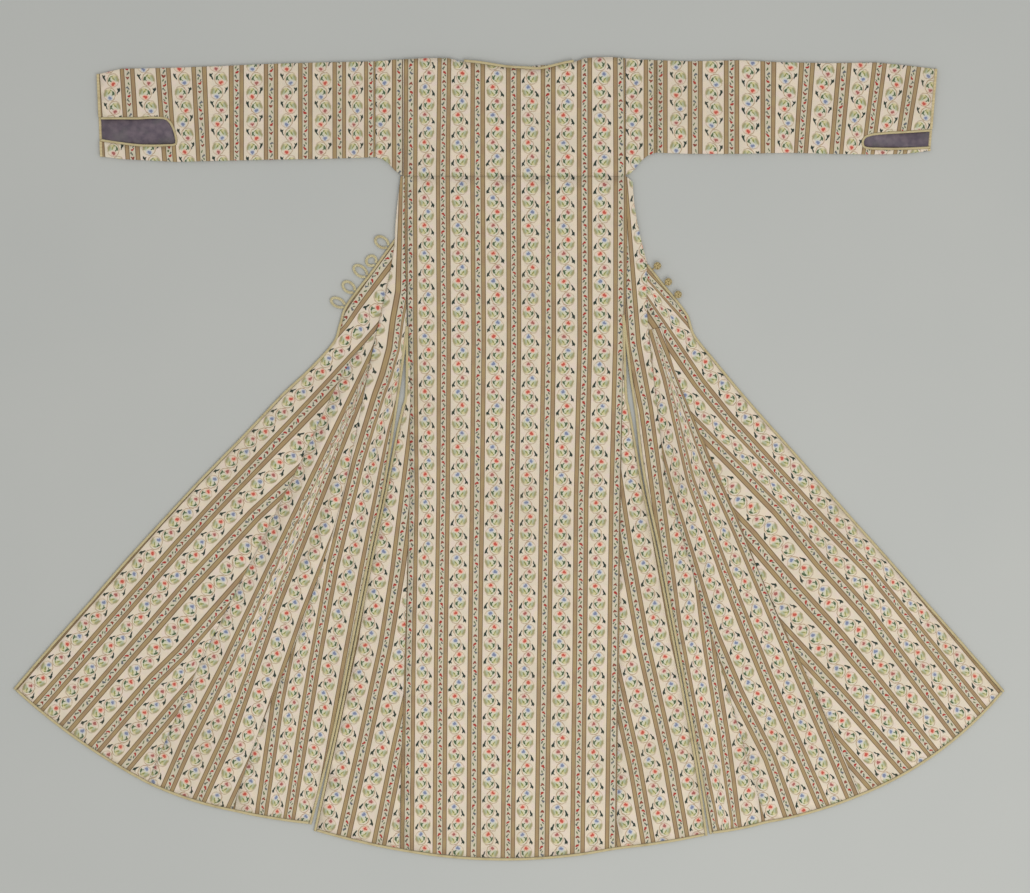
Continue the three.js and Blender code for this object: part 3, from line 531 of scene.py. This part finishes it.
FOLDS_LEFT = [
    ([(-222, 252), (-258, 62), (-314, -118), (-391, -328)], 12.0, 34.0, 0.25, 0.35),
    ([(-258, 192), (-326, 12), (-406, -178), (-516, -388)], 10.0, 38.0, 0.25, 0.35),
    ([(-326, 122), (-446, -38), (-576, -188), (-696, -328)], 6.0, 46.0, 0.25, 0.35),
    ([(-200, 122), (-236, -88), (-281, -298), (-326, -558)], 6.0, 30.0, 0.25, 0.35),
    ([(-243, 216), (-355, -39), (-443, -218)], 6.0, 13.0, 0.2, 0.4),
    ([(-284, 45), (-327, -148), (-373, -207), (-422, -298), (-480, -382)], 5.0, 12.0, 0.25, 0.35),
]
FOLDS_RIGHT = [
    ([(254, 252), (286, 62), (334, -118), (396, -338)], 12.0, 34.0, 0.25, 0.35),
    ([(284, 202), (348, 22), (428, -178), (524, -398)], 10.0, 38.0, 0.25, 0.35),
    ([(324, 142), (454, -8), (584, -168), (704, -328)], 6.0, 46.0, 0.25, 0.35),
    ([(220, 122), (254, -88), (304, -298), (348, -558)], 6.0, 30.0, 0.25, 0.35),
    ([(355, -208), (383, -301), (392, -345), (406, -387), (428, -441)], 5.0, 12.0, 0.3, 0.4),
    ([(380, -242), (480, -427), (536, -452)], 5.0, 13.0, 0.3, 0.4),
]
SKIRT_WAVES = 0.6  # height of the low waves in the skirts
THINNING = 110.0   # length below the waist over which the facing of a front ends


def skirt_left_height(x, y):
    return folded(x, y, FOLDS_LEFT) + unevenness(x, y, SKIRT_WAVES)


def skirt_right_height(x, y):
    return folded(x, y, FOLDS_RIGHT) + unevenness(x, y, SKIRT_WAVES)


def over_front(skirt_height):
    """The side gore lies on the front above the waist, then sinks beside it."""
    return lambda x, y: skirt_height(x, y) + LAYER_LIFT * rise((y - WAIST_TOP + WAIST_DROP) / WAIST_DROP)


def left_front_wall(x, y):
    below, unused, unused_run = near_line(x, y, [(-200, 386), (-180, 368)], open_ended=True)
    return FRONT_LAYERS - (FRONT_LAYERS - CLOTH_WALL) * rise(np.abs(below) / THINNING)


def right_front_wall(x, y):
    below, unused, unused_run = near_line(x, y, [(242, 341), (220, 324)], open_ended=True)
    return FRONT_LAYERS - (FRONT_LAYERS - CLOTH_WALL) * rise(np.abs(below) / THINNING)


FRONT_LEFT_BANDS = [
    (0, [(-205, 360), (-245, 306), (-272, 268), (-290, 240), (-364, 158), (-420, 101),
         (-555, -41), (-620, -112), (-865, -391)]),
    (1, [(-290, 154), (-376, 61), (-511, -81), (-576, -152), (-821, -431)]),
    (2, [(-380, -39), (-446, -98), (-562, -222), (-777, -471)]),
    (3, [(-481, -236), (-572, -340), (-621, -387), (-723, -504)]),
    (4, [(-564, -408), (-646, -506)]),
]
FRONT_RIGHT_BANDS = [
    (0, [(523, -352), (592, -427), (682, -530)]),
    (2, [(346, 40), (401, -14), (474, -89), (544, -177), (628, -271), (737, -417)]),
    (3, [(289, 201), (332, 133), (383, 68), (450, -5), (544, -107), (634, -198), (737, -327)]),
    (4, [(256, 304), (317, 240), (380, 166)]),
]
GORE_FRONT_LEFT_BANDS = [
    (0, [(-392, -151), (-429, -228), (-495, -366), (-562, -495), (-595, -571)]),
    (1, [(-366, -142), (-408, -247), (-457, -387), (-492, -487), (-539, -590)]),
]
GORE_FRONT_RIGHT_BANDS = [
    (0, [(256, 33), (284, -65), (315, -168), (355, -305), (399, -409), (457, -523), (492, -625)]),
    (1, [(247, 296), (256, 220), (278, 142), (317, -37), (378, -200), (453, -387), (530, -562)]),
    (2, [(313, 70), (341, 0), (401, -130), (458, -263), (527, -420), (598, -588)]),
]
SIDE_LEFT_BANDS = [
    (0, [(-340, -100), (-383, -326), (-404, -427), (-430, -607)]),
    (1, [(-182, 486), (-182, 292), (-191, 243), (-197, 191), (-210, 145), (-224, 110),
         (-261, -2), (-310, -189), (-341, -355), (-380, -597)]),
    (2, [(-165, 200), (-205, 50), (-249, -189), (-280, -355)]),
]
SIDE_RIGHT_BANDS = [
    (0, [(206, 348), (217, 199), (240, 86), (266, -107), (292, -299), (313, -404)]),
    (1, [(330, -170), (350, -334), (376, -500), (392, -623)]),
]
sew_panel("front_left", skirt_left_height, left_front_wall, FRONT_LEFT_BANDS)
sew_panel("front_right", skirt_right_height, right_front_wall, FRONT_RIGHT_BANDS)
sew_panel("front_gore_left", skirt_left_height, single_wall, GORE_FRONT_LEFT_BANDS)
sew_panel("front_gore_right", skirt_right_height, single_wall, GORE_FRONT_RIGHT_BANDS)
sew_panel("side_gore_left", over_front(skirt_left_height), single_wall, SIDE_LEFT_BANDS)
sew_panel("side_gore_right", over_front(skirt_right_height), single_wall, SIDE_RIGHT_BANDS)

# The right front's cloth runs on a little under the side gore, where the two part at the waist.
UNDERLAP_MIDDLE = (248.0, 243.0, 0.2)
UNDERLAP_SIZE = (28.0, 42.0, 0.0)
UNDERLAP_WALL = 0.8
bpy.ops.object.select_all(action="DESELECT")
bpy.ops.mesh.primitive_grid_add(x_subdivisions=6, y_subdivisions=7, size=1.0, calc_uvs=False)
underlap = bpy.context.object
underlap.name = "front_right_underlap"
write_points(underlap, read_points(underlap) * MM * UNDERLAP_SIZE + UNDERLAP_MIDDLE)
thicken = underlap.modifiers.new("thicken", "SOLIDIFY")
thicken.thickness = UNDERLAP_WALL * MM
thicken.offset = 1.0
bpy.ops.object.modifier_apply(modifier=thicken.name)
lay_stripes(underlap, FRONT_RIGHT_BANDS)
finish_cloth(underlap, "front_right")

# ---- Sleeves --------------------------------------------------------------------------------
# Flattened tubes of the same cloth, its stripes round the arm, pieced to a short head at the
# armhole. Each cuff is slit along the back of the arm.

SLEEVE_DEPTH = 4.8
SLEEVE_WAVES = 0.7  # height of the low waves in a sleeve's upper wall
SLEEVE_LEFT_BANDS = [
    (1, [(-242, 514), (-242, 698)]),
    (2, [(-296, 514), (-296, 698)]),
    (3, [(-356, 514), (-356, 698)]),
    (4, [(-416, 514), (-416, 698)]),
    (5, [(-476, 514), (-476, 698)]),
    (6, [(-534, 514), (-543, 698)]),
    (7, [(-592, 514), (-606, 698)]),
    (8, [(-657, 514), (-669, 698)]),
]
SLEEVE_RIGHT_BANDS = [
    (0, [(680, 514), (710, 698)]),
    (1, [(625, 514), (649, 698)]),
    (2, [(571, 514), (587, 698)]),
    (3, [(508, 514), (522, 698)]),
    (4, [(453, 514), (453, 698)]),
    (5, [(389, 514), (389, 698)]),
    (6, [(325, 514), (325, 698)]),
]
HEAD_LEFT_BANDS = [(0, [(-192, 492), (-192, 698)])]
HEAD_RIGHT_BANDS = [(0, [(248, 492), (248, 698)])]
CUFF_EASE = {"from": 520.0, "over": 60.0}  # distance out where the unevenness dies away


def sew_sleeve(node, bands):
    """The node's tube with its upper wall a little uneven, flat again towards the cuff."""
    piece = fine_copy(node, f"{node}_cloth")
    points = read_points(piece)
    x, y, z = points.T
    upper = rise((z - CLOTH_WALL) / (SLEEVE_DEPTH - 2 * CLOTH_WALL))
    calm = 1.0 - rise((np.abs(x) - CUFF_EASE["from"]) / CUFF_EASE["over"])
    points[:, 2] = z + upper * calm * unevenness(x, y, SLEEVE_WAVES)
    write_points(piece, points)
    lay_stripes(piece, bands)
    finish_cloth(piece, node)


sew_sleeve("sleeve_left", SLEEVE_LEFT_BANDS)
sew_sleeve("sleeve_right", SLEEVE_RIGHT_BANDS)
sew_sleeve("sleeve_head_left", HEAD_LEFT_BANDS)
sew_sleeve("sleeve_head_right", HEAD_RIGHT_BANDS)

# ---- Cuff lining ----------------------------------------------------------------------------
# Purple silk inside each sleeve, seen through the slit of the cuff, with painted sheen in lighter patches.
# It is a little slack, so it crumples.


def purple_silk():
    material, tree, shader = new_material("purple_silk")
    body = tree.nodes.new("ShaderNodeTexCoord")
    sheen_and_relief = noise(tree, body.outputs["Object"], 90.0, 3.0)
    # Painted sheen: lighter patches in the silk's colour stand in for light caught by its crumples.
    colour = paint(tree, linear(84, 72, 84), linear(112, 98, 106), soft_step(
        tree, sheen_and_relief.outputs["Fac"], 0.35, 0.7))
    grey = noise(tree, body.outputs["Object"], 35.0, 2.0)
    colour = paint(tree, colour, linear(96, 94, 92), soft_step(
        tree, grey.outputs["Fac"], 0.5, 0.7, 0.0, 0.6))
    tree.links.new(colour, shader.inputs["Base Color"])
    raise_by(tree, shader, sheen_and_relief.outputs["Fac"], 0.0006)
    shader.inputs["Roughness"].default_value = 0.5
    shader.inputs["Sheen Weight"].default_value = 0.2
    return material


PURPLE_SILK = purple_silk()
CRUMPLE = 0.18  # height of the lining's small creases
for side, flat, area in (("left", (0.058, 0.141), 0.0081), ("right", (0.0415, 0.127), 0.0052)):
    node = f"cuff_lining_{side}"
    piece = fine_copy(node, f"{node}_silk", longest=3.0)
    points = read_points(piece)
    x, y, z = points.T
    crumple = np.sin((x + 0.6 * y) / 3.7 + 1.5 * np.sin(y / 6.0)) * np.sin((y - 0.2 * x) / 5.1)
    points[:, 2] = z + CRUMPLE * crumple
    write_points(piece, points)
    piece.data.materials.append(PURPLE_SILK)
    for face in piece.data.polygons:
        face.use_smooth = True
    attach(piece, "root")
    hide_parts(node)

# ---- Piping ---------------------------------------------------------------------------------
# A pale gold silk cord sewn round the neck, down both fronts, along the hems and both edges of
# each side slit, and round the slit and edge of each cuff.


def gold_silk(name, body_colour, painted_groove_shade, lay):
    """Silk cord: strands that run slantwise round it, with painted shade between them."""
    material, tree, shader = new_material(name)
    chart = tree.nodes.new("ShaderNodeUVMap")
    chart.uv_map = "cord"
    parts = tree.nodes.new("ShaderNodeSeparateXYZ")
    tree.links.new(chart.outputs["UV"], parts.inputs[0])
    turns = math_node(tree, "DIVIDE", math_node(tree, "DIVIDE", parts.outputs["Y"], MM), lay)
    strands = math_node(tree, "SINE", math_node(
        tree, "MULTIPLY", math_node(tree, "ADD", turns, parts.outputs["X"]), 2 * math.pi))
    ridge = math_node(tree, "MULTIPLY_ADD", strands, 0.5, 0.5)
    body = tree.nodes.new("ShaderNodeTexCoord")
    wear = noise(tree, body.outputs["Object"], 60.0, 3.0)
    # Painted shade: the grooves between the strands get the darker colour, the strands' ridges the lighter.
    colour = paint(tree, painted_groove_shade, body_colour, soft_step(tree, ridge, 0.05, 0.6))
    colour = paint(tree, colour, linear(166, 146, 102), soft_step(
        tree, wear.outputs["Fac"], 0.5, 0.72, 0.0, 0.5))
    tree.links.new(colour, shader.inputs["Base Color"])
    raise_by(tree, shader, ridge, 0.0004)
    shader.inputs["Roughness"].default_value = 0.5
    shader.inputs["Sheen Weight"].default_value = 0.15
    return material


def route_of(node):
    """Middle line of a cord's solid: the middles of its rings, in order from one end, in millimetres."""
    short_edge = 2.6
    shape = bmesh.new()
    shape.from_mesh(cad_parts[node].data)
    bmesh.ops.remove_doubles(shape, verts=shape.verts, dist=WELD * MM)
    ring_of = {}
    rings = []
    for vert in shape.verts:
        if vert in ring_of:
            continue
        ring = [vert]
        ring_of[vert] = len(rings)
        for member in ring:
            for edge in member.link_edges:
                other = edge.other_vert(member)
                if other not in ring_of and edge.calc_length() < short_edge * MM:
                    ring_of[other] = len(rings)
                    ring.append(other)
        rings.append(ring)
    beside = [set() for ring in rings]
    for edge in shape.edges:
        first, second = (ring_of[vert] for vert in edge.verts)
        if first != second:
            beside[first].add(second)
            beside[second].add(first)
    middles = [sum((vert.co for vert in ring), Vector()) / len(ring) / MM for ring in rings]
    shape.free()
    here = next(i for i, near in enumerate(beside) if len(near) == 1)
    order = [here]
    while True:
        onward = [i for i in beside[order[-1]] if i not in order]
        if not onward:
            break
        order.append(onward[0])
    return [middles[i] for i in order]


def smooth_route(points, spacing):
    """A smooth line through points, with a point every `spacing` millimetres."""
    ends = [2 * points[0] - points[1]] + list(points) + [2 * points[-1] - points[-2]]
    line = []
    for before, start, end, after in zip(ends, ends[1:], ends[2:], ends[3:]):
        steps = max(1, round((end - start).length / spacing))
        for i in range(steps):
            t = i / steps
            line.append(0.5 * (2 * start + (end - before) * t
                               + (2 * before - 5 * start + 4 * end - after) * t ** 2
                               + (3 * start - before - 3 * end + after) * t ** 3))
    line.append(points[-1].copy())
    return line


def lay_cord(name, line, half_width, half_height, sides):
    """A round or flattened tube along a line, with its own coordinates round and along it."""
    shape = bmesh.new()
    chart = shape.loops.layers.uv.new("cord")
    rings = []
    runs = []
    run = 0.0
    for i, middle in enumerate(line):
        ahead = line[min(i + 1, len(line) - 1)]
        behind = line[max(i - 1, 0)]
        along = (ahead - behind).normalized()
        across = along.cross(Vector((0, 0, 1))).normalized()
        up = across.cross(along)
        if i:
            run += (middle - line[i - 1]).length
        ring = []
        for k in range(sides):
            angle = 2 * math.pi * k / sides
            offset = half_width * math.cos(angle) * across + half_height * math.sin(angle) * up
            ring.append(shape.verts.new((middle + offset) * MM))
        rings.append(ring)
        runs.append(run)
    for r in range(len(rings) - 1):
        for k in range(sides):
            after = (k + 1) % sides
            corners = (rings[r][k], rings[r][after], rings[r + 1][after], rings[r + 1][k])
            face = shape.faces.new(corners)
            turn = ((k, r), (k + 1, r), (k + 1, r + 1), (k, r + 1))
            for loop, (step, row) in zip(face.loops, turn):
                loop[chart].uv = (step / sides, runs[row] * MM)
    shape.faces.new(list(reversed(rings[0])))
    shape.faces.new(rings[-1])
    bmesh.ops.recalc_face_normals(shape, faces=shape.faces)
    mesh = bpy.data.meshes.new(name)
    shape.to_mesh(mesh)
    shape.free()
    for face in mesh.polygons:
        face.use_smooth = True
    piece = bpy.data.objects.new(name, mesh)
    bpy.context.scene.collection.objects.link(piece)
    return piece


PIPING_HALF_WIDTH = 2.2
PIPING_HALF_HEIGHT = 1.5
PIPING_SIDES = 10
PIPING_STEP = 4.0
PIPING_REST = 0.25
PIPING_SILK = gold_silk("piping_silk", linear(206, 192, 146), linear(190, 172, 126), 2.0)
over_left_front = over_front(skirt_left_height)
over_right_front = over_front(skirt_right_height)
PIPED_EDGES = {
    "neck_piping": back_height,
    "front_piping_left": skirt_left_height,
    "front_piping_right": skirt_right_height,
    "front_hem_piping_left": skirt_left_height,
    "front_hem_piping_right": skirt_right_height,
    "back_hem_piping": back_height,
    "side_slit_piping_left": over_left_front,
    "side_slit_piping_right": over_right_front,
    "back_slit_piping_left": back_height,
    "back_slit_piping_right": back_height,
}
SLIT_TOPS = {"left": (-178.0, 232.0), "right": (200.0, 252.0)}  # where both edges of a slit meet
for node, base in PIPED_EDGES.items():
    route = route_of(node)
    if "slit" in node:
        top = Vector((*SLIT_TOPS[node.rsplit("_", 1)[1]], 0.0))
        if route[0].y < route[-1].y:
            route.reverse()
        route.insert(0, top)
    line = smooth_route(route, PIPING_STEP)
    under = base(np.array([p.x for p in line]), np.array([p.y for p in line]))
    for point, height in zip(line, under):
        point.z = height + PIPING_REST + PIPING_HALF_HEIGHT
    cord = lay_cord(f"{node}_cord", line, PIPING_HALF_WIDTH, PIPING_HALF_HEIGHT, PIPING_SIDES)
    cord.data.materials.append(PIPING_SILK)
    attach(cord, "root")
    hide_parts(node)
CUFF_CORD_HALF_WIDTH = 2.0
CUFF_CORD_HALF_HEIGHT = 1.25
for side in ("left", "right"):
    node = f"cuff_slit_piping_{side}"
    line = smooth_route(route_of(node), PIPING_STEP)
    cord = lay_cord(f"{node}_cord", line, CUFF_CORD_HALF_WIDTH, CUFF_CORD_HALF_HEIGHT, PIPING_SIDES)
    cord.data.materials.append(PIPING_SILK)
    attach(cord, "root")
    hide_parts(node)

CUFF_STRAND = 0.0025  # width of one strand across the cuff's edge, in metres


def cuff_silk():
    """The same silk on the cuff's binding, its strands across the edge, with painted shade between them."""
    material, tree, shader = new_material("cuff_silk")
    body = tree.nodes.new("ShaderNodeTexCoord")
    parts = tree.nodes.new("ShaderNodeSeparateXYZ")
    tree.links.new(body.outputs["Object"], parts.inputs[0])
    strands = math_node(tree, "SINE", math_node(
        tree, "MULTIPLY", parts.outputs["Y"], 2 * math.pi / CUFF_STRAND))
    ridge = math_node(tree, "MULTIPLY_ADD", strands, 0.5, 0.5)
    wear = noise(tree, body.outputs["Object"], 60.0, 3.0)
    # Painted shade: darker in the grooves between the strands, lighter on their ridges.
    colour = paint(tree, linear(186, 164, 114), linear(216, 200, 154), soft_step(tree, ridge, 0.1, 0.7))
    colour = paint(tree, colour, linear(166, 146, 102), soft_step(
        tree, wear.outputs["Fac"], 0.5, 0.72, 0.0, 0.5))
    tree.links.new(colour, shader.inputs["Base Color"])
    raise_by(tree, shader, ridge, 0.0003)
    shader.inputs["Roughness"].default_value = 0.5
    shader.inputs["Sheen Weight"].default_value = 0.15
    return material


CUFF_SILK = cuff_silk()
for side in ("left", "right"):
    node = f"cuff_piping_{side}"
    piece = fine_copy(node, f"{node}_binding", longest=6.0)
    bpy.ops.object.select_all(action="DESELECT")
    piece.select_set(True)
    bpy.context.view_layer.objects.active = piece
    soften = piece.modifiers.new("soften", "BEVEL")
    soften.width = 0.5 * MM
    soften.segments = 2
    bpy.ops.object.modifier_apply(modifier=soften.name)
    bpy.ops.object.shade_smooth_by_angle(angle=math.radians(50))
    piece.data.materials.append(CUFF_SILK)
    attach(piece, "root")
    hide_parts(node)

# ---- Button loops ---------------------------------------------------------------------------
# Five loops of plaited silk braid on the left front's edge, their two ends sewn against it.
# Three strands pass over and under each other.

STRANDS = 3
STRAND = 1.2         # half-thickness of one strand
STRAND_SIDES = 8
PLAIT_WIDTH = 1.3    # swing of a strand to each side of the braid's middle
PLAIT_DEPTH = 0.55   # swing of a strand up and down
PLAIT_LENGTH = 8.0   # of one full plait
BRAID_SILK = gold_silk("braid_silk", linear(222, 212, 170), linear(176, 160, 112), 1.6)


def plait(name, line):
    """A flat braid along a line: strands that swing from side to side, a third of a plait apart."""
    made = []
    for strand in range(STRANDS):
        route = []
        run = 0.0
        for i, middle in enumerate(line):
            ahead = line[min(i + 1, len(line) - 1)]
            behind = line[max(i - 1, 0)]
            along = (ahead - behind).normalized()
            across = along.cross(Vector((0, 0, 1))).normalized()
            up = across.cross(along)
            if i:
                run += (middle - line[i - 1]).length
            phase = 2 * math.pi * (run / PLAIT_LENGTH + strand / STRANDS)
            route.append(middle + PLAIT_WIDTH * math.sin(phase) * across
                         + PLAIT_DEPTH * math.sin(2 * phase) * up)
        made.append(lay_cord(f"{name}_strand_{strand}", route, STRAND, STRAND, STRAND_SIDES))
    bpy.ops.object.select_all(action="DESELECT")
    for piece in made:
        piece.select_set(True)
    bpy.context.view_layer.objects.active = made[0]
    bpy.ops.object.join()
    made[0].name = name
    return made[0]


LOOP_HALF = 12.0
LOOP_NECK = 4.3      # between the middles of a loop's two ends
LOOP_SEAT = 2.3      # from the front's edge to the braid's ends
BRAID = 3.8
LOOPS = [((-224.5, 380.5), 21), ((-239.5, 345.5), 22), ((-262.5, 330.5), 20),
         ((-281.5, 301.5), 20), ((-301.5, 274.5), 18)]


def loop_route(middle, width, edge_line):
    """A ring that leaves the front's edge, goes round and comes back beside itself."""
    middle = Vector((*middle, 0))
    piping = min(edge_line, key=lambda point: (point - middle).length)
    out = (middle - piping).normalized()
    edge = piping + PIPING_HALF_WIDTH * out
    across = Vector((-out.y, out.x, 0))
    reach = (middle - edge).length + LOOP_HALF - BRAID / 2 - LOOP_SEAT
    swing = (width - BRAID) / 2
    neck = math.asin(LOOP_NECK / 2 / swing)
    steps = 80
    route = []
    for i in range(steps + 1):
        angle = neck + 2 * i * (math.pi - neck) / steps
        share = (math.cos(neck) - math.cos(angle)) / (math.cos(neck) + 1)
        flat_point = edge + (LOOP_SEAT + reach * share) * out + swing * math.sin(angle) * across
        route.append(Vector((flat_point.x, flat_point.y, BRAID / 2)))
    return route


left_edge = [Vector((point.x, point.y, 0)) for point in smooth_route(route_of("front_piping_left"), 2.0)]
for number, (middle, width) in enumerate(LOOPS, start=1):
    node = f"button_loop_{number}"
    braid = plait(f"{node}_braid", loop_route(middle, width, left_edge))
    braid.data.materials.append(BRAID_SILK)
    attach(braid, "root")
    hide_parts(node)

# ---- Knotted buttons ------------------------------------------------------------------------
# Three balls of the same braid on the right front's edge, each knotted round itself in three
# turns, with a short shank sewn to the edge.

KNOT_RADIUS = 4.6
KNOT_STRAND = 1.55
KNOT_SIDES = 10
KNOT_LEAN = math.radians(58)  # of a turn above and below the ball's middle
KNOT_WEAVE = 0.75    # by which the turns pass over and under each other
KNOT_SET = 0.6       # where along a turn it passes over, in radians
SHANK_HALF = 1.3     # half-thickness of the shank
KNOT_SILK = gold_silk("knot_silk", linear(206, 186, 128), linear(140, 118, 70), 1.8)
for number in range(1, 4):
    node = f"knot_button_{number}"
    solid = [vert.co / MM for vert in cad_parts[node].data.vertices]
    ball_top = max(point.z for point in solid)
    ball = [point for point in solid if point.z > ball_top * 0.5]
    middle = sum(ball, Vector()) / len(ball)
    middle.z = ball_top / 2
    route = []
    turns, bights, steps = 3, 5, 180
    for i in range(steps + 1):
        around = 2 * math.pi * turns * i / steps
        tilt = KNOT_LEAN * math.sin(bights * around / turns)
        out = KNOT_RADIUS + KNOT_WEAVE * math.cos(2 * bights * around / turns + KNOT_SET)
        route.append(middle + out * Vector((
            math.cos(tilt) * math.cos(around), math.cos(tilt) * math.sin(around), math.sin(tilt))))
    knot = lay_cord(f"{node}_knot", route, KNOT_STRAND, KNOT_STRAND, KNOT_SIDES)
    sewn_end = max(solid, key=lambda point: (point - middle).length)
    shank_line = smooth_route([Vector((sewn_end.x, sewn_end.y, SHANK_HALF)),
                               Vector((middle.x, middle.y, SHANK_HALF))], SHANK_HALF)
    shank = lay_cord(f"{node}_shank", shank_line, SHANK_HALF, SHANK_HALF, STRAND_SIDES)
    for piece in (knot, shank):
        piece.data.materials.append(KNOT_SILK)
        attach(piece, "root")
        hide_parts(node)

# ---- Surface, light and view ----------------------------------------------------------------
# A pale grey surface under the robe, lit softly from all round and a little more from one side,
# and a camera straight above it.

bpy.ops.object.select_all(action="DESELECT")
bpy.ops.mesh.primitive_plane_add(size=8.0, location=(0, 0, -0.0006))
surface = bpy.context.object
surface.name = "surface"
paper, tree, shader = new_material("pale_surface")
body = tree.nodes.new("ShaderNodeTexCoord")
grain = noise(tree, body.outputs["Object"], 3.0, 5.0)
tree.links.new(paint(tree, linear(186, 188, 184), linear(192, 193, 188), grain.outputs["Fac"]),
               shader.inputs["Base Color"])
shader.inputs["Roughness"].default_value = 0.9
shader.inputs["Specular IOR Level"].default_value = 0.1
surface.data.materials.append(paper)

world = bpy.data.worlds.new("studio")
bpy.context.scene.world = world
world.use_nodes = True
world.node_tree.nodes["Background"].inputs["Color"].default_value = (1.0, 1.0, 1.0, 1.0)
world.node_tree.nodes["Background"].inputs["Strength"].default_value = 0.72
lamp = bpy.data.lights.new("soft_box", "AREA")
lamp.shape = "RECTANGLE"
lamp.size = 2.2
lamp.size_y = 1.6
lamp.energy = 25.0
soft_box = bpy.data.objects.new("soft_box", lamp)
soft_box.location = (1.1, -1.3, 2.5)
soft_box.rotation_euler = (Vector((0, 0, 0)) - soft_box.location).to_track_quat("-Z", "Y").to_euler()
bpy.context.scene.collection.objects.link(soft_box)
bpy.context.scene.view_settings.view_transform = "Standard"

VIEW_WIDTH = 1.8025
LENS, SENSOR = 85.0, 36.0
lens = bpy.data.cameras.new("above")
lens.lens = LENS
lens.sensor_width = SENSOR
lens.sensor_fit = "HORIZONTAL"
camera = bpy.data.objects.new("above", lens)
camera.location = (0.0105, 0.02175, VIEW_WIDTH * LENS / SENSOR)
bpy.context.scene.collection.objects.link(camera)
bpy.context.scene.camera = camera
